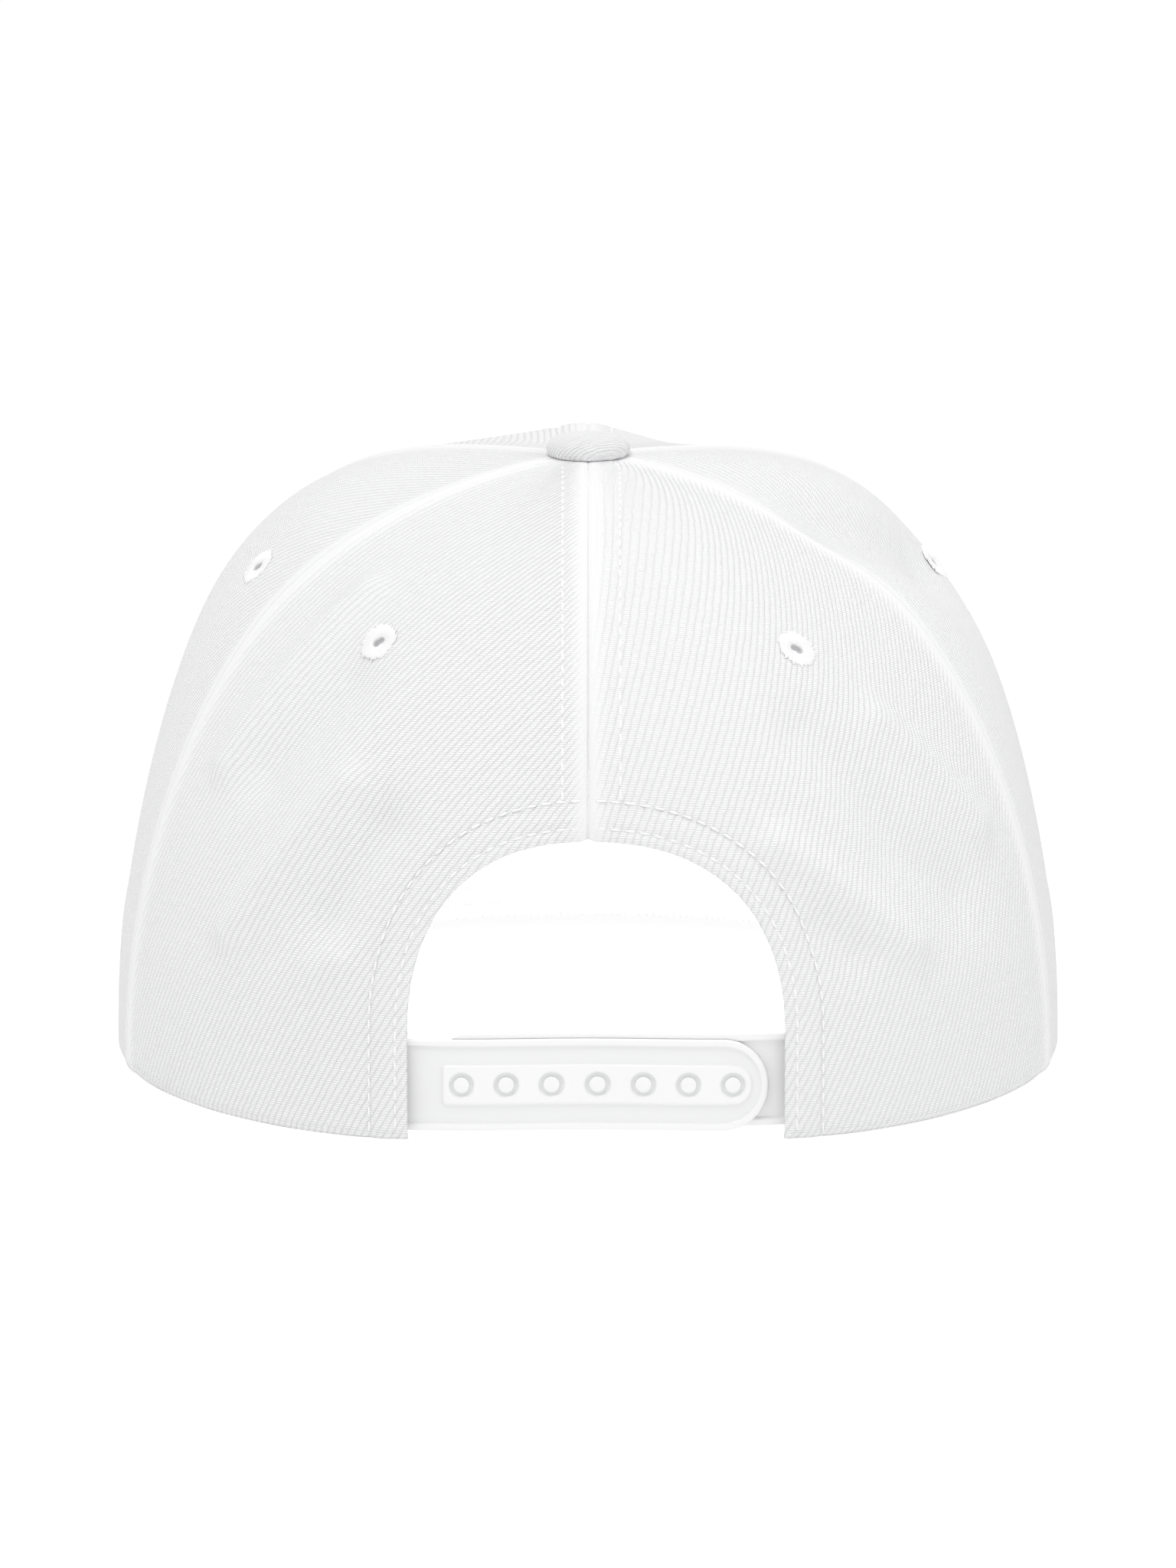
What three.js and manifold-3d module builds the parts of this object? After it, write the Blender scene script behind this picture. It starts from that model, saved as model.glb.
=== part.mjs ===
// A white six-panel snapback cap with a flat peak, standing on its rim and on the sides of its peak.
// Millimetres, +Z up, the back of the cap towards -Y and the peak towards +Y.
import * as THREE from "three";
import { mergeVertices } from "three/addons/utils/BufferGeometryUtils.js";
import Module from "manifold-3d";

const wasm = await Module();
wasm.setup();
const { sin, cos, acos, atan2, hypot, sign, min, max, PI } = Math;
const DEGREE = PI / 180;

// The crown's outer form
const CROWN_HALF_WIDTH = 100.4;
const CROWN_BACK_REACH = 93;
const CROWN_FRONT_REACH = 86;
const CROWN_HEIGHT = 125.3;
const CLOTH_WALL = 1.8;
const SEAM_GAP = 0.3;
const SEAM_SAG = 1.2;
const BACK_SEAM_AZIMUTH = 69;
const FRONT_SEAM_AZIMUTH = 118;
const SEAM_BEND_START = 45;
const HEM_LIFT_START = 52;
const HEM_LIFT_LEAD = 6;
const HEM_LIFT_POWER = 2.2;
const FOLD_FADE_LOW = 26;
const FOLD_FADE_HIGH = 37;
const BUTTON_SMOOTH_MARGIN = 16;

// The opening in the back
const ARCH_TOP = 60;
const ARCH_SPRING = 21;
const ARCH_LEFT_WIDTH = 36.6;
const ARCH_RIGHT_WIDTH = 39.9;
const ARCH_FULLNESS = 2.4;
const ARCH_FAN = 22;

// The peak
const PEAK_LENGTH = 70;
const PEAK_SIDE_INSET = 5.4;
const PEAK_WALL = 3.2;
const PEAK_CROSS_RISE = 6;
const PEAK_SLOPE = 0.035;
const PEAK_CORNER_AZIMUTH = 115;
const PEAK_CORNER_LIP = 1.5;
const PEAK_TAIL_TURN = 16;
const PEAK_WIDEST_BACK = 22;
const PEAK_FULLNESS = 2.6;

// The sweatband
const BAND_HEIGHT = 30;
const BAND_WALL = 1.2;
const BAND_GAP = 0.5;
const BAND_EDGE_INSET = 1.5;
const BAND_RETURN_TURN = 10;

// The snap strap
const STRAP_HEIGHT = 19;
const STRAP_BOTTOM = 1.3;
const STRAP_TUCK = 12;
const STRAP_RIM_WIDTH = 1.4;
const STRAP_RIM_RISE = 0.5;
const STRAP_FIELD = 1.0;
const STRAP_TIP_PAST_HOLE = 7.4;
const RAIL_HALF_HEIGHT = 4;
const RAIL_START_BEFORE_HOLE = 4.2;
const STUD_STRAP_WALL = 0.8;
const STUD_STRAP_RAISE = 0.5;
const STUD_STRAP_TIP_PAST_STUD = 4.8;
const STUD_STRAP_TIP_RADIUS = 6;
const STUD_COUNT = 7;
const STUD_PITCH = 9.2;
const STUD_ROW_MIDDLE = 1.9;
const STUD_SHANK_RADIUS = 1.3;
const STUD_HEAD_RADIUS = 1.7;
const STUD_HEAD_HEIGHT = 0.5;
const HOLE_RING_RADIUS = 2.55;
const HOLE_SHELF = 0.6;

// The button and the eyelets
const BUTTON_RADIUS = 8.9;
const BUTTON_RISE = 5.4;
const BUTTON_EDGE = 1.3;
const BUTTON_SEAT_GAP = 0.5;
const BUTTON_SHANK_RADIUS = 2;
const RIVET_RADIUS = 4.5;
const RIVET_HEIGHT = 0.8;
const EYELET_RADIUS = 4.3;
const EYELET_HOLE_RADIUS = 1.2;
const EYELET_BARREL = 0.7;
const EYELET_THREAD = 0.6;
const EYELET_GAP = 0.8;

// Grid steps of the cloth and sides of the round pieces
const PANEL_ACROSS = 10;
const PANEL_UP = 16;
const SEAM_ROWS = 11;
const ARCH_ROWS = 12;
const BAND_STEPS = 48;
const BAND_ROWS = 3;
const PEAK_ACROSS = 30;
const PEAK_OUT = 5;
const STRAP_STEPS = 12;
const TIP_STEPS = 7;
const TIP_TURN = 80;
const ROUND_SIDES = 14;
const DOME_STEPS = 4;

// One row for each meridian, from the back (0) to the front (180), the same on both sides.
// reach: share of the plain half-ellipse's radius; fullness: exponent of the wall's curve;
// crest: how far the shoulder stands above that curve, as a share of the crown's height.
const MERIDIANS = [
  { azimuth: 0, reach: 1.0, fullness: 2.25, crest: 0.0 },
  { azimuth: 30, reach: 1.09, fullness: 2.2, crest: 0.0 },
  { azimuth: 60, reach: 1.06, fullness: 2.05, crest: 0.015 },
  { azimuth: 90, reach: 1.0, fullness: 2.37, crest: 0.045 },
  { azimuth: 120, reach: 1.02, fullness: 3.15, crest: 0.005 },
  { azimuth: 150, reach: 1.02, fullness: 2.83, crest: 0.02 },
  { azimuth: 180, reach: 1.0, fullness: 3.1, crest: 0.045 },
];
const MERIDIAN_STEP = MERIDIANS[1].azimuth;

// Soft folds of the cloth. A fold runs from one place to another, each an azimuth, + to the right of
// the back, and a rise as a share of the crown's height. width and push are shares of the same height.
const FOLDS = [
  { fromAzimuth: -49, fromRise: 0.83, toAzimuth: -58, toRise: 0.55, width: 0.038, push: 0.017 },
  { fromAzimuth: -41, fromRise: 0.7, toAzimuth: -49, toRise: 0.56, width: 0.06, push: -0.02 },
  { fromAzimuth: -34, fromRise: 0.56, toAzimuth: -47, toRise: 0.3, width: 0.038, push: 0.018 },
  { fromAzimuth: -28, fromRise: 0.5, toAzimuth: -33, toRise: 0.36, width: 0.05, push: -0.022 },
  { fromAzimuth: -31, fromRise: 0.28, toAzimuth: -33, toRise: 0.25, width: 0.04, push: 0.014 },
  { fromAzimuth: 25, fromRise: 0.47, toAzimuth: 41, toRise: 0.29, width: 0.036, push: 0.018 },
  { fromAzimuth: 47, fromRise: 0.64, toAzimuth: 59, toRise: 0.45, width: 0.036, push: 0.015 },
  { fromAzimuth: 33, fromRise: 0.64, toAzimuth: 40, toRise: 0.53, width: 0.06, push: -0.019 },
  { fromAzimuth: 43, fromRise: 0.45, toAzimuth: 51, toRise: 0.36, width: 0.065, push: -0.02 },
  { fromAzimuth: 29, fromRise: 0.34, toAzimuth: 33, toRise: 0.29, width: 0.036, push: -0.012 },
  { fromAzimuth: 82, fromRise: 0.92, toAzimuth: 98, toRise: 0.82, width: 0.11, push: -0.052 },
  { fromAzimuth: -150, fromRise: 0.97, toAzimuth: -140, toRise: 0.94, width: 0.11, push: 0.015 },
  { fromAzimuth: -95, fromRise: 0.9, toAzimuth: -95, toRise: 0.8, width: 0.17, push: 0.01 },
];

// One row for each panel's sewn eyelet; rise is a share of the crown's height.
const EYELETS = [
  { panel: "back_left", azimuth: -38, rise: 0.77 },
  { panel: "back_right", azimuth: 37, rise: 0.76 },
  { panel: "side_left", azimuth: -84, rise: 0.82 },
  { panel: "side_right", azimuth: 109, rise: 0.79 },
  { panel: "front_left", azimuth: 211, rise: 0.86 },
  { panel: "front_right", azimuth: 149, rise: 0.86 },
];

const COTTON = new THREE.MeshStandardMaterial({ color: 0xf2f2f2, roughness: 0.9, metalness: 0 });
const THREAD = new THREE.MeshStandardMaterial({ color: 0xfafafa, roughness: 0.7, metalness: 0 });
const SOFT_COTTON = new THREE.MeshStandardMaterial({ color: 0xeeeeee, roughness: 0.95, metalness: 0 });
const CLEAR_WHITE_PLASTIC = new THREE.MeshStandardMaterial({ color: 0xf4f4f4, roughness: 0.35, metalness: 0 });

const mix = (a, b, t) => a + (b - a) * t;
const clamp = (t) => min(1, max(0, t));
const ease = (t) => clamp(t) ** 2 * (3 - 2 * clamp(t));
const rounded = (value, exponent) => sign(value) * Math.abs(value) ** exponent;

// A column of MERIDIANS at any azimuth, on a smooth curve through the rows.
function meridian(column, azimuth) {
  const turned = Math.abs(((((azimuth + 180) % 360) + 360) % 360) - 180);
  const last = MERIDIANS.length - 1;
  const i = min(last - 1, Math.floor(turned / MERIDIAN_STEP));
  const t = turned / MERIDIAN_STEP - i;
  const row = (k) => MERIDIANS[k < 0 ? -k : k > last ? 2 * last - k : k][column];
  const [a, b, c, d] = [row(i - 1), row(i), row(i + 1), row(i + 2)];
  return (
    (2 * b + (c - a) * t + (2 * a - 5 * b + 4 * c - d) * t ** 2 + (3 * b - a - 3 * c + d) * t ** 3) / 2
  );
}

// The radius of the rim's outer edge in plan.
function rimRadius(azimuth) {
  const [s, c] = [sin(azimuth * DEGREE), cos(azimuth * DEGREE)];
  const reach = c > 0 ? CROWN_BACK_REACH : CROWN_FRONT_REACH;
  return meridian("reach", azimuth) / hypot(s / CROWN_HALF_WIDTH, c / reach);
}

// The peak's outer edge in plan, from its right corner (-1) past the front (0) to its left corner (1).
const peakTip = CROWN_FRONT_REACH + PEAK_LENGTH;
const peakHalfWidth = CROWN_HALF_WIDTH - PEAK_SIDE_INSET;
const peakWidest = CROWN_FRONT_REACH - PEAK_WIDEST_BACK;
function peakEdge(share) {
  const turn = Math.abs(share) * (90 + PEAK_TAIL_TURN);
  const tail = max(0, turn - 90) / PEAK_TAIL_TURN;
  const [s, c] = [sin(min(turn, 90) * DEGREE), cos(min(turn, 90) * DEGREE)];
  const corner = rimRadius(PEAK_CORNER_AZIMUTH) + PEAK_CORNER_LIP;
  const cornerX = corner * sin(PEAK_CORNER_AZIMUTH * DEGREE);
  const cornerY = -corner * cos(PEAK_CORNER_AZIMUTH * DEGREE);
  const x = mix(peakHalfWidth * rounded(s, 2 / PEAK_FULLNESS), cornerX, tail ** 2);
  const y = peakWidest + (peakTip - peakWidest) * rounded(max(0, c), 2 / PEAK_FULLNESS);
  return [-sign(share) * x, mix(y, cornerY, tail)];
}

// The peak's underside, arched across and falling to the front, with its lowest edge on the surface.
const peakArch = (x, y) =>
  PEAK_CROSS_RISE * (1 - (x / peakHalfWidth) ** 2) + PEAK_SLOPE * (peakTip - y);
const peakEdges = Array.from({ length: PEAK_ACROSS + 1 }, (_, i) => peakEdge((2 * i) / PEAK_ACROSS - 1));
const peakLowest = min(...peakEdges.map(([x, y]) => peakArch(x, y)));
const peakUnder = (x, y) => peakArch(x, y) - peakLowest;

// The height of the crown's hem: on the surface at the back, on top of the peak at the front.
function hemHeight(azimuth) {
  const turned = Math.abs(azimuth > 180 ? azimuth - 360 : azimuth);
  const onPeak = max(turned, PEAK_CORNER_AZIMUTH);
  const r = rimRadius(onPeak);
  const top = peakUnder(r * sin(onPeak * DEGREE), -r * cos(onPeak * DEGREE)) + PEAK_WALL + SEAM_GAP;
  const reach = PEAK_CORNER_AZIMUTH - HEM_LIFT_LEAD - HEM_LIFT_START;
  return top * clamp((turned - HEM_LIFT_START) / reach) ** HEM_LIFT_POWER;
}

// The azimuth of a seam: even sixths at the button, spread towards the rim.
const seamAzimuth = (rimAzimuth, buttonAzimuth, lift) =>
  mix(rimAzimuth, buttonAzimuth, ease((lift - SEAM_BEND_START) / (90 - SEAM_BEND_START)));
const backSeam = (lift) => seamAzimuth(BACK_SEAM_AZIMUTH, 60, lift);
const frontSeam = (lift) => seamAzimuth(FRONT_SEAM_AZIMUTH, 120, lift);

// A point of the plain crown. lift is 0 at the rim and 90 at the button.
function plainPoint(azimuth, lift) {
  const power = 2 / meridian("fullness", azimuth);
  const share = max(0, cos(lift * DEGREE)) ** power;
  const r = rimRadius(azimuth) * share;
  const hem = hemHeight(azimuth);
  const shoulder = CROWN_HEIGHT * meridian("crest", azimuth) * 4 * share ** 2 * (1 - share ** 2);
  const z = hem + (CROWN_HEIGHT - hem) * max(0, sin(lift * DEGREE)) ** power + shoulder;
  return new THREE.Vector3(r * sin(azimuth * DEGREE), -r * cos(azimuth * DEGREE), z);
}

// The lift at which the crown reaches a height, by halving.
function liftAt(azimuth, height) {
  let [low, high] = [0, 89];
  for (let i = 0; i < 30; i++) {
    const middle = (low + high) / 2;
    if (plainPoint(azimuth, middle).z < height) low = middle;
    else high = middle;
  }
  return (low + high) / 2;
}

const onCrown = (azimuth, rise) => plainPoint(azimuth, liftAt(azimuth, rise * CROWN_HEIGHT));
const foldLines = FOLDS.map((fold) => {
  const [from, to] = [onCrown(fold.fromAzimuth, fold.fromRise), onCrown(fold.toAzimuth, fold.toRise)];
  return { ...fold, line: new THREE.Line3(from, to) };
});

// How far a place is pushed out by the folds and by the sag of each panel between its seams.
function pushOut(azimuth, lift, place) {
  const side = Math.abs(azimuth > 180 ? azimuth - 360 : azimuth);
  const [back, front] = [backSeam(lift), frontSeam(lift)];
  const [low, high] = side < back ? [0, back] : side < front ? [back, front] : [front, 180];
  const across = (side - low) / (high - low);
  let push = -SEAM_SAG * 4 * across * (1 - across) * sin(lift * 2 * DEGREE);
  for (const { line, width, push: height } of foldLines) {
    const nearest = line.closestPointToPoint(place, true, new THREE.Vector3());
    const away = nearest.distanceTo(place) / (width * CROWN_HEIGHT);
    push += height * CROWN_HEIGHT * Math.exp(-away * away);
  }
  const abovePlain = ease((place.z - FOLD_FADE_LOW) / (FOLD_FADE_HIGH - FOLD_FADE_LOW));
  return push * abovePlain * ease((hypot(place.x, place.y) - BUTTON_RADIUS) / BUTTON_SMOOTH_MARGIN);
}

function normalAt(azimuth, lift) {
  const step = 0.2;
  const low = max(0.5, lift - step);
  const along = plainPoint(azimuth + step, low).sub(plainPoint(azimuth - step, low));
  const up = plainPoint(azimuth, low + step).sub(plainPoint(azimuth, low - step));
  return along.cross(up).normalize();
}

// A point of the folded crown, depth inside its outer face. At the rim the wall stands upright.
function crownPoint(azimuth, lift, depth = 0) {
  const place = plainPoint(azimuth, lift);
  const out = normalAt(azimuth, lift);
  if (lift <= 0) out.setZ(0).normalize();
  return place.clone().addScaledVector(out, pushOut(azimuth, lift, place) - depth);
}

// The azimuth and lift of the back of the crown where it stands x from the middle at a height.
function backPlace(x, height) {
  let azimuth = 0;
  for (let i = 0; i < 12; i++) {
    const place = plainPoint(azimuth, liftAt(azimuth, height));
    azimuth = Math.asin(x / hypot(place.x, place.y)) / DEGREE;
  }
  return [azimuth, liftAt(azimuth, height)];
}

// A box whose corners are moved by place(u, v, w), each from 0 to 1, as one closed solid.
function warped(place, across, up, through = 1) {
  const box = new THREE.BoxGeometry(1, 1, 1, across, up, through);
  box.deleteAttribute("normal");
  box.deleteAttribute("uv");
  const geometry = mergeVertices(box);
  const at = geometry.getAttribute("position");
  for (let i = 0; i < at.count; i++) {
    const p = place(at.getX(i) + 0.5, at.getY(i) + 0.5, at.getZ(i) + 0.5);
    at.setXYZ(i, p.x, p.y, p.z);
  }
  return geometry;
}

const solidOf = (geometry) => {
  const plain = geometry.clone();
  plain.deleteAttribute("normal");
  plain.deleteAttribute("uv");
  const merged = mergeVertices(plain, 1e-4);
  return new wasm.Manifold(
    new wasm.Mesh({
      numProp: 3,
      vertProperties: new Float32Array(merged.getAttribute("position").array),
      triVerts: new Uint32Array(merged.index.array),
    }),
  );
};

function geometryOf(solid) {
  const { numProp, vertProperties, triVerts } = solid.getMesh();
  const points = new Float32Array((vertProperties.length / numProp) * 3);
  for (let i = 0; i < points.length / 3; i++) {
    points.set(vertProperties.subarray(i * numProp, i * numProp + 3), i * 3);
  }
  const geometry = new THREE.BufferGeometry();
  geometry.setAttribute("position", new THREE.BufferAttribute(points, 3));
  geometry.setIndex(new THREE.BufferAttribute(new Uint32Array(triVerts), 1));
  return geometry;
}

// A solid of revolution about Z, turned so that its axis runs along out at a place.
function turnedSolid(profile, sides, place, out) {
  const points = profile.map(([r, h]) => new THREE.Vector2(r, h));
  const geometry = new THREE.LatheGeometry(points, sides);
  const turn = new THREE.Quaternion().setFromUnitVectors(new THREE.Vector3(0, 1, 0), out);
  geometry.applyQuaternion(turn).translate(place.x, place.y, place.z);
  return solidOf(geometry);
}

// Half the seam gap as an angle, at a radius.
const gapAngle = (r) => atan2(SEAM_GAP / 2, r) / DEGREE;
const planRadius = (azimuth, lift) => hypot(plainPoint(azimuth, lift).x, plainPoint(azimuth, lift).y);
const tipRadius = BUTTON_SHANK_RADIUS + SEAM_GAP;
const tipLift = (azimuth) => {
  const share = tipRadius / rimRadius(azimuth);
  return acos(share ** (meridian("fullness", azimuth) / 2)) / DEGREE;
};

// A panel between two seams, given as azimuths that depend on the lift.
function panel(fromSeam, toSeam) {
  return warped(
    (u, v, w) => {
      const lift = v * tipLift(mix(fromSeam(90), toSeam(90), u));
      const [from, to] = [fromSeam(lift), toSeam(lift)];
      const gap = gapAngle(planRadius(mix(from, to, u), lift));
      const azimuth = mix(from + gap, to - gap, u);
      return crownPoint(azimuth, lift, CLOTH_WALL * (1 - w));
    },
    PANEL_ACROSS,
    PANEL_UP,
  );
}

// The edge of the opening in the back, from its top (0) to the rim (1), on one side.
function archPlace(side, share) {
  const straight = ARCH_SPRING / (ARCH_SPRING + ARCH_TOP);
  const turn = clamp(share / (1 - straight)) * 90 * DEGREE;
  const width = side > 0 ? ARCH_RIGHT_WIDTH : ARCH_LEFT_WIDTH;
  const x = max(SEAM_GAP / 2, width * rounded(sin(turn), 2 / ARCH_FULLNESS));
  const curve = (ARCH_TOP - ARCH_SPRING) * rounded(max(0, cos(turn)), 2 / ARCH_FULLNESS);
  const fall = ARCH_SPRING * clamp((share - 1 + straight) / straight);
  return backPlace(side * x, ARCH_SPRING + curve - fall);
}

// A back panel: above the opening its inner edge is the centre seam, beside it the opening's own edge.
function backPanel(side) {
  const archLift = liftAt(0, ARCH_TOP);
  const split = ARCH_ROWS / (ARCH_ROWS + SEAM_ROWS);
  return warped(
    (across, v, w) => {
      const u = side > 0 ? across : 1 - across;
      const upper = max(0, v - split) / (1 - split);
      const lower = min(1, v / split);
      const outerLift = mix(lower * (archLift + ARCH_FAN), tipLift(backSeam(90)), upper);
      const outer = side * (backSeam(outerLift) - gapAngle(planRadius(backSeam(outerLift), outerLift)));
      const seamLift = mix(archLift, tipLift(0), upper);
      const [inner, innerLift] =
        upper > 0 ? [side * gapAngle(planRadius(0, seamLift)), seamLift] : archPlace(side, 1 - lower);
      const lift = v > 0 ? mix(innerLift, outerLift, u) : 0;
      return crownPoint(mix(inner, outer, u), lift, CLOTH_WALL * (1 - w));
    },
    PANEL_ACROSS + 2,
    SEAM_ROWS + ARCH_ROWS,
  );
}

// The peak: one board, whose inner margin lies under the crown's hem and the sweatband.
function peak() {
  const margin = CLOTH_WALL + BAND_GAP + BAND_WALL;
  return warped(
    (u, v, w) => {
      const share = 2 * u - 1;
      const azimuth = 180 + share * (180 - PEAK_CORNER_AZIMUTH);
      const r = rimRadius(azimuth) - margin;
      const [edgeX, edgeY] = peakEdge(share);
      const x = mix(r * sin(azimuth * DEGREE), edgeX, v);
      const y = mix(-r * cos(azimuth * DEGREE), edgeY, v);
      return new THREE.Vector3(x, y, peakUnder(x, y) + PEAK_WALL * (1 - w));
    },
    PEAK_ACROSS,
    PEAK_OUT,
  );
}

// The sweatband: upright inside the hem, and further in where a strap end is sewn between it and the crown.
const strapWall = STRAP_FIELD + STRAP_RIM_RISE;
const strapTop = STRAP_BOTTOM + STRAP_HEIGHT + STUD_STRAP_RAISE;
function sweatband() {
  const azimuthAt = (x) => Math.abs(backPlace(x, strapTop)[0]);
  const first = azimuthAt(ARCH_RIGHT_WIDTH + BAND_EDGE_INSET);
  const last = 360 - azimuthAt(-ARCH_LEFT_WIDTH - BAND_EDGE_INSET);
  const tucked = azimuthAt(ARCH_RIGHT_WIDTH + STRAP_TUCK);
  return warped(
    (u, v, w) => {
      const azimuth = mix(first, last, u);
      const side = min(azimuth, 360 - azimuth);
      const away = ease((side - tucked) / BAND_RETURN_TURN);
      const strap = azimuth < 180 ? strapWall + SEAM_GAP + STUD_STRAP_WALL : strapWall;
      const room = mix(strap + SEAM_GAP, 0, away);
      const rise = mix(SEAM_GAP, BAND_HEIGHT, v);
      const depth = CLOTH_WALL + BAND_GAP + room + BAND_WALL * (1 - w);
      const place = crownPoint(azimuth, liftAt(azimuth, hemHeight(azimuth) + max(rise, strapTop)), depth);
      if (rise < strapTop) place.z = hemHeight(azimuth) + rise;
      return place;
    },
    BAND_STEPS,
    BAND_ROWS,
  );
}

// A place on the snap strap: x from the middle, and depth inwards from the outer strap's face.
function strapPoint(x, height, depth) {
  const [azimuth, lift] = backPlace(x, strapTop);
  const out = normalAt(azimuth, lift).setZ(0).normalize();
  const place = plainPoint(azimuth, lift).addScaledVector(out, -(CLOTH_WALL + SEAM_GAP + depth));
  return place.setZ(height);
}

// A flat strip bent along the back, from a square start to a rounded tip, between two depths.
function strip({ start, tip, middle, half, radius, outer, inner }) {
  const forward = sign(tip - start);
  const bend = tip - forward * radius;
  const steps = STRAP_STEPS + TIP_STEPS;
  return solidOf(
    warped(
      (u, v, w) => {
        const k = Math.round((forward > 0 ? u : 1 - u) * steps);
        const turn = (max(0, k - STRAP_STEPS) / TIP_STEPS) * TIP_TURN * DEGREE;
        const x = mix(start, bend, min(1, k / STRAP_STEPS)) + forward * radius * sin(turn);
        const height = middle + (2 * v - 1) * (half - radius * (1 - cos(turn)));
        return strapPoint(x, height, mix(inner, outer, w));
      },
      steps,
      1,
    ),
  );
}

const strapMiddle = STRAP_BOTTOM + STRAP_HEIGHT / 2;
const studPlaces = Array.from(
  { length: STUD_COUNT },
  (_, i) => STUD_ROW_MIDDLE + (i - (STUD_COUNT - 1) / 2) * STUD_PITCH,
);
const firstStud = studPlaces[0];
const lastStud = studPlaces[STUD_COUNT - 1];

// A round solid at a stud's place, with its heights measured outwards from the outer strap's face.
function atStud(x, profile) {
  const place = strapPoint(x, strapMiddle, 0);
  const out = strapPoint(x, strapMiddle, -1).sub(place).normalize();
  return turnedSolid(profile, ROUND_SIDES, place, out);
}

// The outer half of the strap: a raised rim round a sunk field, and a rail with the snap holes.
function holeStrap() {
  const start = -ARCH_LEFT_WIDTH - STRAP_TUCK;
  const tip = lastStud + STRAP_TIP_PAST_HOLE;
  const half = STRAP_HEIGHT / 2;
  const middle = strapMiddle;
  const body = strip({ start, tip, middle, half, radius: half, outer: 0, inner: strapWall });
  const field = strip({
    start: start + STRAP_RIM_WIDTH,
    tip: tip - STRAP_RIM_WIDTH,
    middle,
    half: half - STRAP_RIM_WIDTH,
    radius: half - STRAP_RIM_WIDTH,
    outer: -strapWall,
    inner: STRAP_RIM_RISE,
  });
  const rail = strip({
    start: firstStud - RAIL_START_BEFORE_HOLE,
    tip: lastStud + RAIL_HALF_HEIGHT,
    middle,
    half: RAIL_HALF_HEIGHT,
    radius: RAIL_HALF_HEIGHT,
    outer: -2 * strapWall,
    inner: strapWall,
  });
  const throat = STUD_SHANK_RADIUS + SEAM_GAP;
  const shelf = HOLE_SHELF - strapWall;
  const hole = [[0, -2 * strapWall], [throat, -2 * strapWall], [throat, shelf], [HOLE_RING_RADIUS, shelf]];
  hole.push([HOLE_RING_RADIUS, strapWall], [0, strapWall]);
  return studPlaces.reduce((solid, x) => solid.subtract(atStud(x, hole)), body.subtract(field.subtract(rail)));
}

// The inner half of the strap, with its studs snapped through the holes.
function studStrap() {
  const outer = strapWall + SEAM_GAP;
  const inner = outer + STUD_STRAP_WALL;
  const body = strip({
    start: ARCH_RIGHT_WIDTH + STRAP_TUCK,
    tip: firstStud - STUD_STRAP_TIP_PAST_STUD,
    middle: strapMiddle + STUD_STRAP_RAISE,
    half: STRAP_HEIGHT / 2,
    radius: STUD_STRAP_TIP_RADIUS,
    outer,
    inner,
  });
  const neck = HOLE_SHELF + SEAM_GAP - strapWall;
  const top = neck + STUD_HEAD_HEIGHT;
  const root = -(outer + inner) / 2;
  const stud = [[0, root], [STUD_SHANK_RADIUS, root], [STUD_SHANK_RADIUS, neck]];
  stud.push([STUD_HEAD_RADIUS, neck], [STUD_HEAD_RADIUS, top], [0, top]);
  return studPlaces.reduce((solid, x) => solid.add(atStud(x, stud)), body);
}

// The button: a dome on top of the crown, its shank, and the rivet that closes it inside.
function button() {
  const under = -CLOTH_WALL - BUTTON_SEAT_GAP;
  const profile = [[0, under - RIVET_HEIGHT], [RIVET_RADIUS, under - RIVET_HEIGHT], [RIVET_RADIUS, under]];
  profile.push([BUTTON_SHANK_RADIUS, under], [BUTTON_SHANK_RADIUS, BUTTON_SEAT_GAP]);
  profile.push([BUTTON_RADIUS, BUTTON_SEAT_GAP]);
  const edge = BUTTON_SEAT_GAP + BUTTON_EDGE;
  for (let i = 0; i <= DOME_STEPS; i++) {
    const turn = (i / DOME_STEPS) * 90 * DEGREE;
    const r = i < DOME_STEPS ? BUTTON_RADIUS * cos(turn) : 0;
    profile.push([r, edge + (BUTTON_RISE - BUTTON_EDGE) * sin(turn)]);
  }
  const apex = new THREE.Vector3(0, 0, CROWN_HEIGHT);
  return turnedSolid(profile, ROUND_SIDES + 2, apex, new THREE.Vector3(0, 0, 1));
}

// Where an eyelet sits: the middle of the cloth, and the way out of the folded crown there.
function eyeletSeat({ azimuth, rise }) {
  const lift = liftAt(azimuth, rise * CROWN_HEIGHT);
  const along = crownPoint(azimuth + 1, lift).sub(crownPoint(azimuth - 1, lift));
  const up = crownPoint(azimuth, lift + 1).sub(crownPoint(azimuth, lift - 1));
  return [crownPoint(azimuth, lift, CLOTH_WALL / 2), along.cross(up).normalize()];
}

// An eyelet: a barrel of thread through the cloth with a flange on each face.
const barrelRadius = EYELET_HOLE_RADIUS + EYELET_BARREL;
function eyelet(seat) {
  const inside = CLOTH_WALL / 2 + EYELET_GAP;
  const outside = inside + EYELET_THREAD;
  const profile = [[EYELET_HOLE_RADIUS, -outside], [EYELET_RADIUS, -outside], [EYELET_RADIUS, -inside]];
  profile.push([barrelRadius, -inside], [barrelRadius, inside], [EYELET_RADIUS, inside]);
  profile.push([EYELET_RADIUS, outside], [EYELET_HOLE_RADIUS, outside], [EYELET_HOLE_RADIUS, -outside]);
  return turnedSolid(profile, ROUND_SIDES, ...seat);
}

function punched(geometry, seat) {
  const radius = barrelRadius + SEAM_GAP;
  const [low, high] = [-EYELET_RADIUS, EYELET_RADIUS];
  const hole = turnedSolid([[0, low], [radius, low], [radius, high], [0, high]], ROUND_SIDES, ...seat);
  return solidOf(geometry).subtract(hole);
}

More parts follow.
